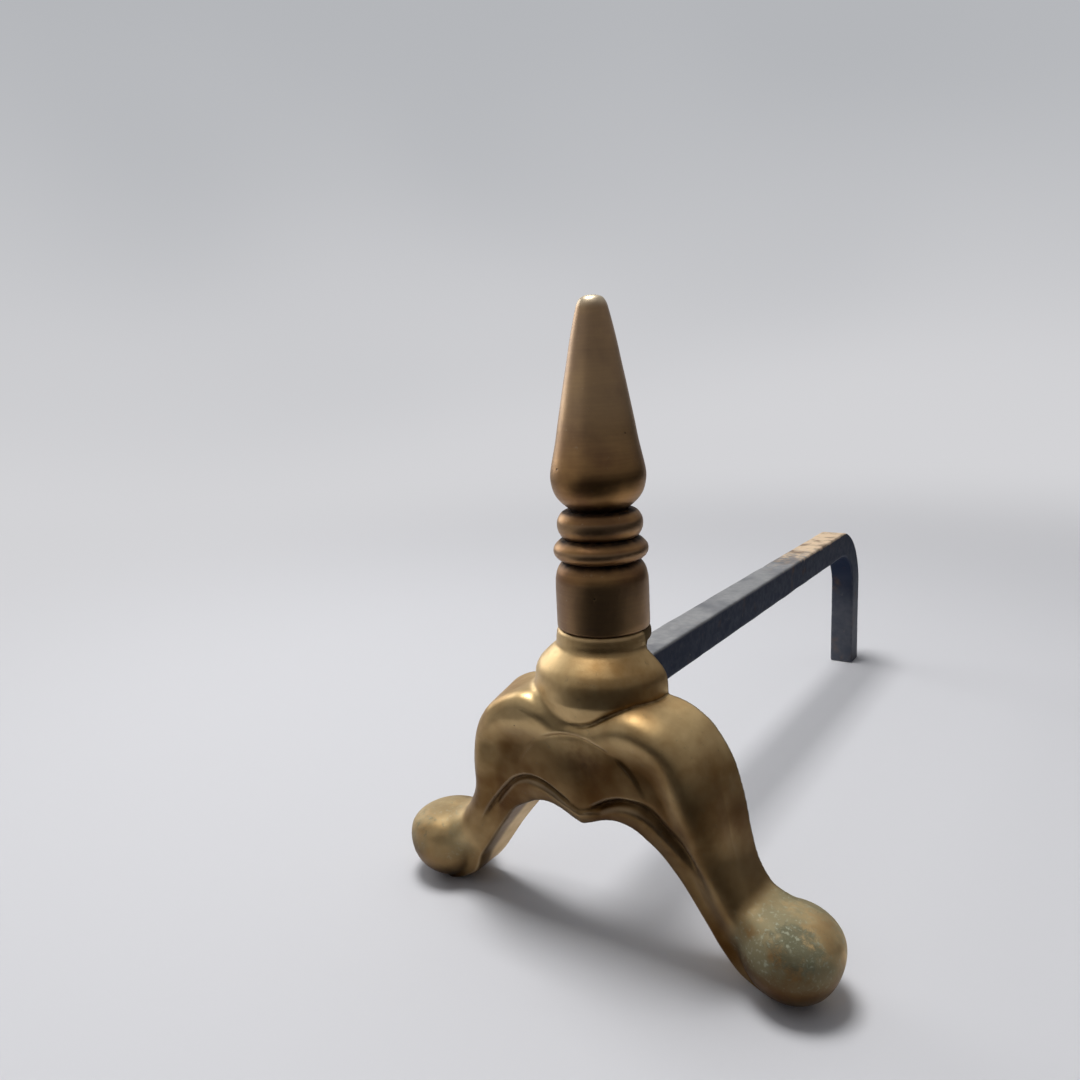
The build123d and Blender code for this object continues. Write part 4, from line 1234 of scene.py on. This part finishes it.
def sweep_paint(finish):
    """Matt pale paint on the floor and the sweep."""
    # lit paint round the part that keeps its shadow, an even pale tone further out, a dark side
    material, tree, surface = blank("matt pale studio paint")
    surface["Metallic"].default_value = 0.0
    surface["Roughness"].default_value = 0.9
    surface["Specular IOR Level"].default_value = 0.1
    place = add(tree, "ShaderNodeTexCoord", out="Object")
    distance = add(tree, "ShaderNodeVectorMath", {0: place}, "Value", operation="LENGTH")
    cloud = add(tree, NOISE, {"Vector": place, "Scale": 0.6, "Detail": 1.0})
    far = add(tree, MATH, {0: cloud, 1: 1.6, 2: distance}, **TIMES_PLUS)
    far = add(tree, RANGE, {0: far, "From Min": 2.2, "From Max": 4.6}, **SOFT)
    tone = add(tree, MIX, {0: far, 6: paint(finish.floor), 7: paint(finish.far)}, 2, **COLOURS)
    # dim to the right and in front, but not far to the left, for every ray but the camera's
    side = add(tree, "ShaderNodeVectorMath", {0: place, 1: RIGHT_SIDE}, "Value", operation="DOT_PRODUCT")
    side = add(tree, RANGE, {0: side, "From Min": 0.22, "From Max": 0.5}, **SOFT)
    near = add(tree, "ShaderNodeVectorMath", {0: place, 1: NEAR_SIDE}, "Value", operation="DOT_PRODUCT")
    near = add(tree, RANGE, {0: near, "From Min": 0.22, "From Max": 0.36}, **SOFT)
    across = add(tree, "ShaderNodeSeparateXYZ", {0: place}, "X")
    across = add(tree, RANGE, {0: across, "From Min": -0.6, "From Max": -0.3}, **SOFT)
    near = add(tree, MATH, {0: near, 1: across}, **TIMES)
    dim = add(tree, MATH, {0: side, 1: near}, operation="MAXIMUM")
    rise = add(tree, "ShaderNodeSeparateXYZ", {0: place}, "Z")
    rise = add(tree, RANGE, {0: rise, "From Min": 0.15, "From Max": 0.9}, **SOFT)
    dark = add(tree, MIX, {0: rise, 6: paint(finish.dim), 7: paint(finish.dusk)}, 2, **COLOURS)
    ray = add(tree, "ShaderNodeLightPath", out="Is Camera Ray")
    dim = add(tree, MATH, {0: dim, 1: ray}, operation="SUBTRACT", use_clamp=True)
    tone = add(tree, MIX, {0: dim, 6: tone, 7: dark}, 2, **COLOURS)
    tree.links.new(tone, surface["Base Color"])
    # the camera and the metal's reflections see the tone itself further out, without any light on it
    seen = add(tree, MATH, {0: ray, 1: ray.node.outputs["Is Glossy Ray"]}, operation="MAXIMUM")
    seen = add(tree, MATH, {0: seen, 1: ray.node.outputs["Is Transmission Ray"]}, operation="MAXIMUM")
    even = add(tree, RANGE, {0: distance, "From Min": 0.40, "From Max": 1.3}, **SOFT)
    even = add(tree, MATH, {0: even, 1: seen}, **TIMES)
    # the metal sees the far floor half as bright as the camera does, and the wall in full
    share = add(tree, MATH, {0: rise, 1: 0.5, 2: 0.5}, **TIMES_PLUS)
    share = add(tree, MATH, {0: share, 1: ray}, operation="MAXIMUM")
    glow = add(tree, "ShaderNodeEmission", {"Color": tone, "Strength": share})
    lit = add(tree, "ShaderNodeMixShader", {0: even, 1: surface["Base Color"].node.outputs[0], 2: glow})
    output = next(node for node in tree.nodes if node.type == "OUTPUT_MATERIAL")
    tree.links.new(lit, output.inputs["Surface"])
    return material


def soft_sky(world, strength, finish):
    """Soft light from the left of the part, from behind it and from above, and little from its right."""
    world.use_nodes = True
    tree = world.node_tree
    tree.nodes.clear()
    way = add(tree, "ShaderNodeTexCoord", out="Generated")
    side = add(tree, "ShaderNodeVectorMath", {0: way, 1: SKY_SIDE}, "Value", operation="DOT_PRODUCT")
    side = add(tree, RANGE, {0: side, "From Min": -0.6, "From Max": 0.4}, **SOFT)
    dim, bright = paint(finish.sky_dim), paint(finish.sky_bright)
    tone = add(tree, MIX, {0: side, 6: dim, 7: bright}, 2, **COLOURS)
    sky = add(tree, "ShaderNodeBackground", {"Color": tone, "Strength": strength})
    add(tree, "ShaderNodeOutputWorld", {"Surface": sky})


class ANDIRON_OT_stage(bpy.types.Operator):
    """Sets the sweep, the soft light and the camera"""

    bl_idname = "andiron.stage"
    bl_label = "Stage"

    def execute(self, context):
        s = context.scene.andiron_stage
        finish = context.scene.andiron_finishes
        camera = bpy.data.cameras.new("camera")
        camera.lens = s.lens
        camera.sensor_width = s.sensor
        thing = bpy.data.objects.new("camera", camera)
        turned = Matrix.Rotation(s.yaw, 3, "Z") @ Matrix.Rotation(math.pi / 2 - s.pitch, 3, "X")
        turned = turned @ Matrix.Rotation(s.roll, 3, "Z")
        thing.matrix_world = Matrix.Translation(s.camera) @ turned.to_4x4()
        context.scene.collection.objects.link(thing)
        context.scene.camera = thing
        context.scene.view_settings.view_transform = "Standard"
        # floor that turns up into a round wall without an edge
        turns = np.linspace(0, math.pi / 2, 40)
        outline = [(0, 0), (s.sweep / 2, 0)]
        outline += [
            (s.sweep + s.sweep_bend * math.sin(t), s.sweep_bend * (1 - math.cos(t))) for t in turns
        ]
        sweep = turn("studio_sweep", outline, sweep_paint(finish), 0.0, Sides=128)
        floor = bpy.data.objects.new("studio_sweep", sweep)
        context.scene.collection.objects.link(floor)
        world = bpy.data.worlds.new("studio")
        context.scene.world = world
        soft_sky(world, s.sky, finish)
        for name in ("key", "window"):
            lamp = bpy.data.lights.new(name, "AREA")
            lamp.energy = getattr(s, name)
            lamp.size = getattr(s, name + "_size")
            light = bpy.data.objects.new(name, lamp)
            light.location = getattr(s, name + "_place")
            way = Vector(s.aim) - light.location
            light.rotation_euler = way.to_track_quat("-Z", "Y").to_euler()
            context.scene.collection.objects.link(light)
        return {"FINISHED"}


# ---------------------------------------------------------------- panel and start
OPERATORS = (
    ANDIRON_OT_cast_stand, ANDIRON_OT_column, ANDIRON_OT_finial, ANDIRON_OT_hardware,
    ANDIRON_OT_billet_bar, ANDIRON_OT_stage,
)
SETTINGS = {
    "andiron_stand": StandSizes, "andiron_turned": TurnedSizes, "andiron_bar": BarSizes,
    "andiron_finishes": Finishes, "andiron_stage": StageSizes,
}


class ANDIRON_PT_panel(bpy.types.Panel):
    """Lists the andiron's pieces and their settings"""

    bl_idname = "ANDIRON_PT_panel"
    bl_label = "Brass andiron"
    bl_space_type = "VIEW_3D"
    bl_region_type = "UI"
    bl_category = "Andiron"

    def draw(self, context):
        layout = self.layout
        for operator in OPERATORS:
            layout.operator(operator.bl_idname)
        for name, group in SETTINGS.items():
            box = layout.box()
            box.label(text=group.__doc__.rstrip("."))
            for field in group.__annotations__:
                box.prop(getattr(context.scene, name), field)


def register():
    """Registers the classes and hangs their settings on the scene."""
    for c in (*SETTINGS.values(), *OPERATORS, ANDIRON_PT_panel):
        bpy.utils.register_class(c)
    for name, group in SETTINGS.items():
        setattr(bpy.types.Scene, name, PointerProperty(type=group))


def unregister():
    """Takes the settings and the classes away again."""
    for name in SETTINGS:
        delattr(bpy.types.Scene, name)
    for c in (ANDIRON_PT_panel, *OPERATORS, *SETTINGS.values()):
        bpy.utils.unregister_class(c)


def main():
    """Builds every piece and the studio."""
    register()
    bpy.ops.andiron.cast_stand()
    bpy.ops.andiron.column()
    bpy.ops.andiron.finial()
    bpy.ops.andiron.hardware()
    bpy.ops.andiron.billet_bar()
    bpy.ops.andiron.stage()


if __name__ == "__main__":
    main()
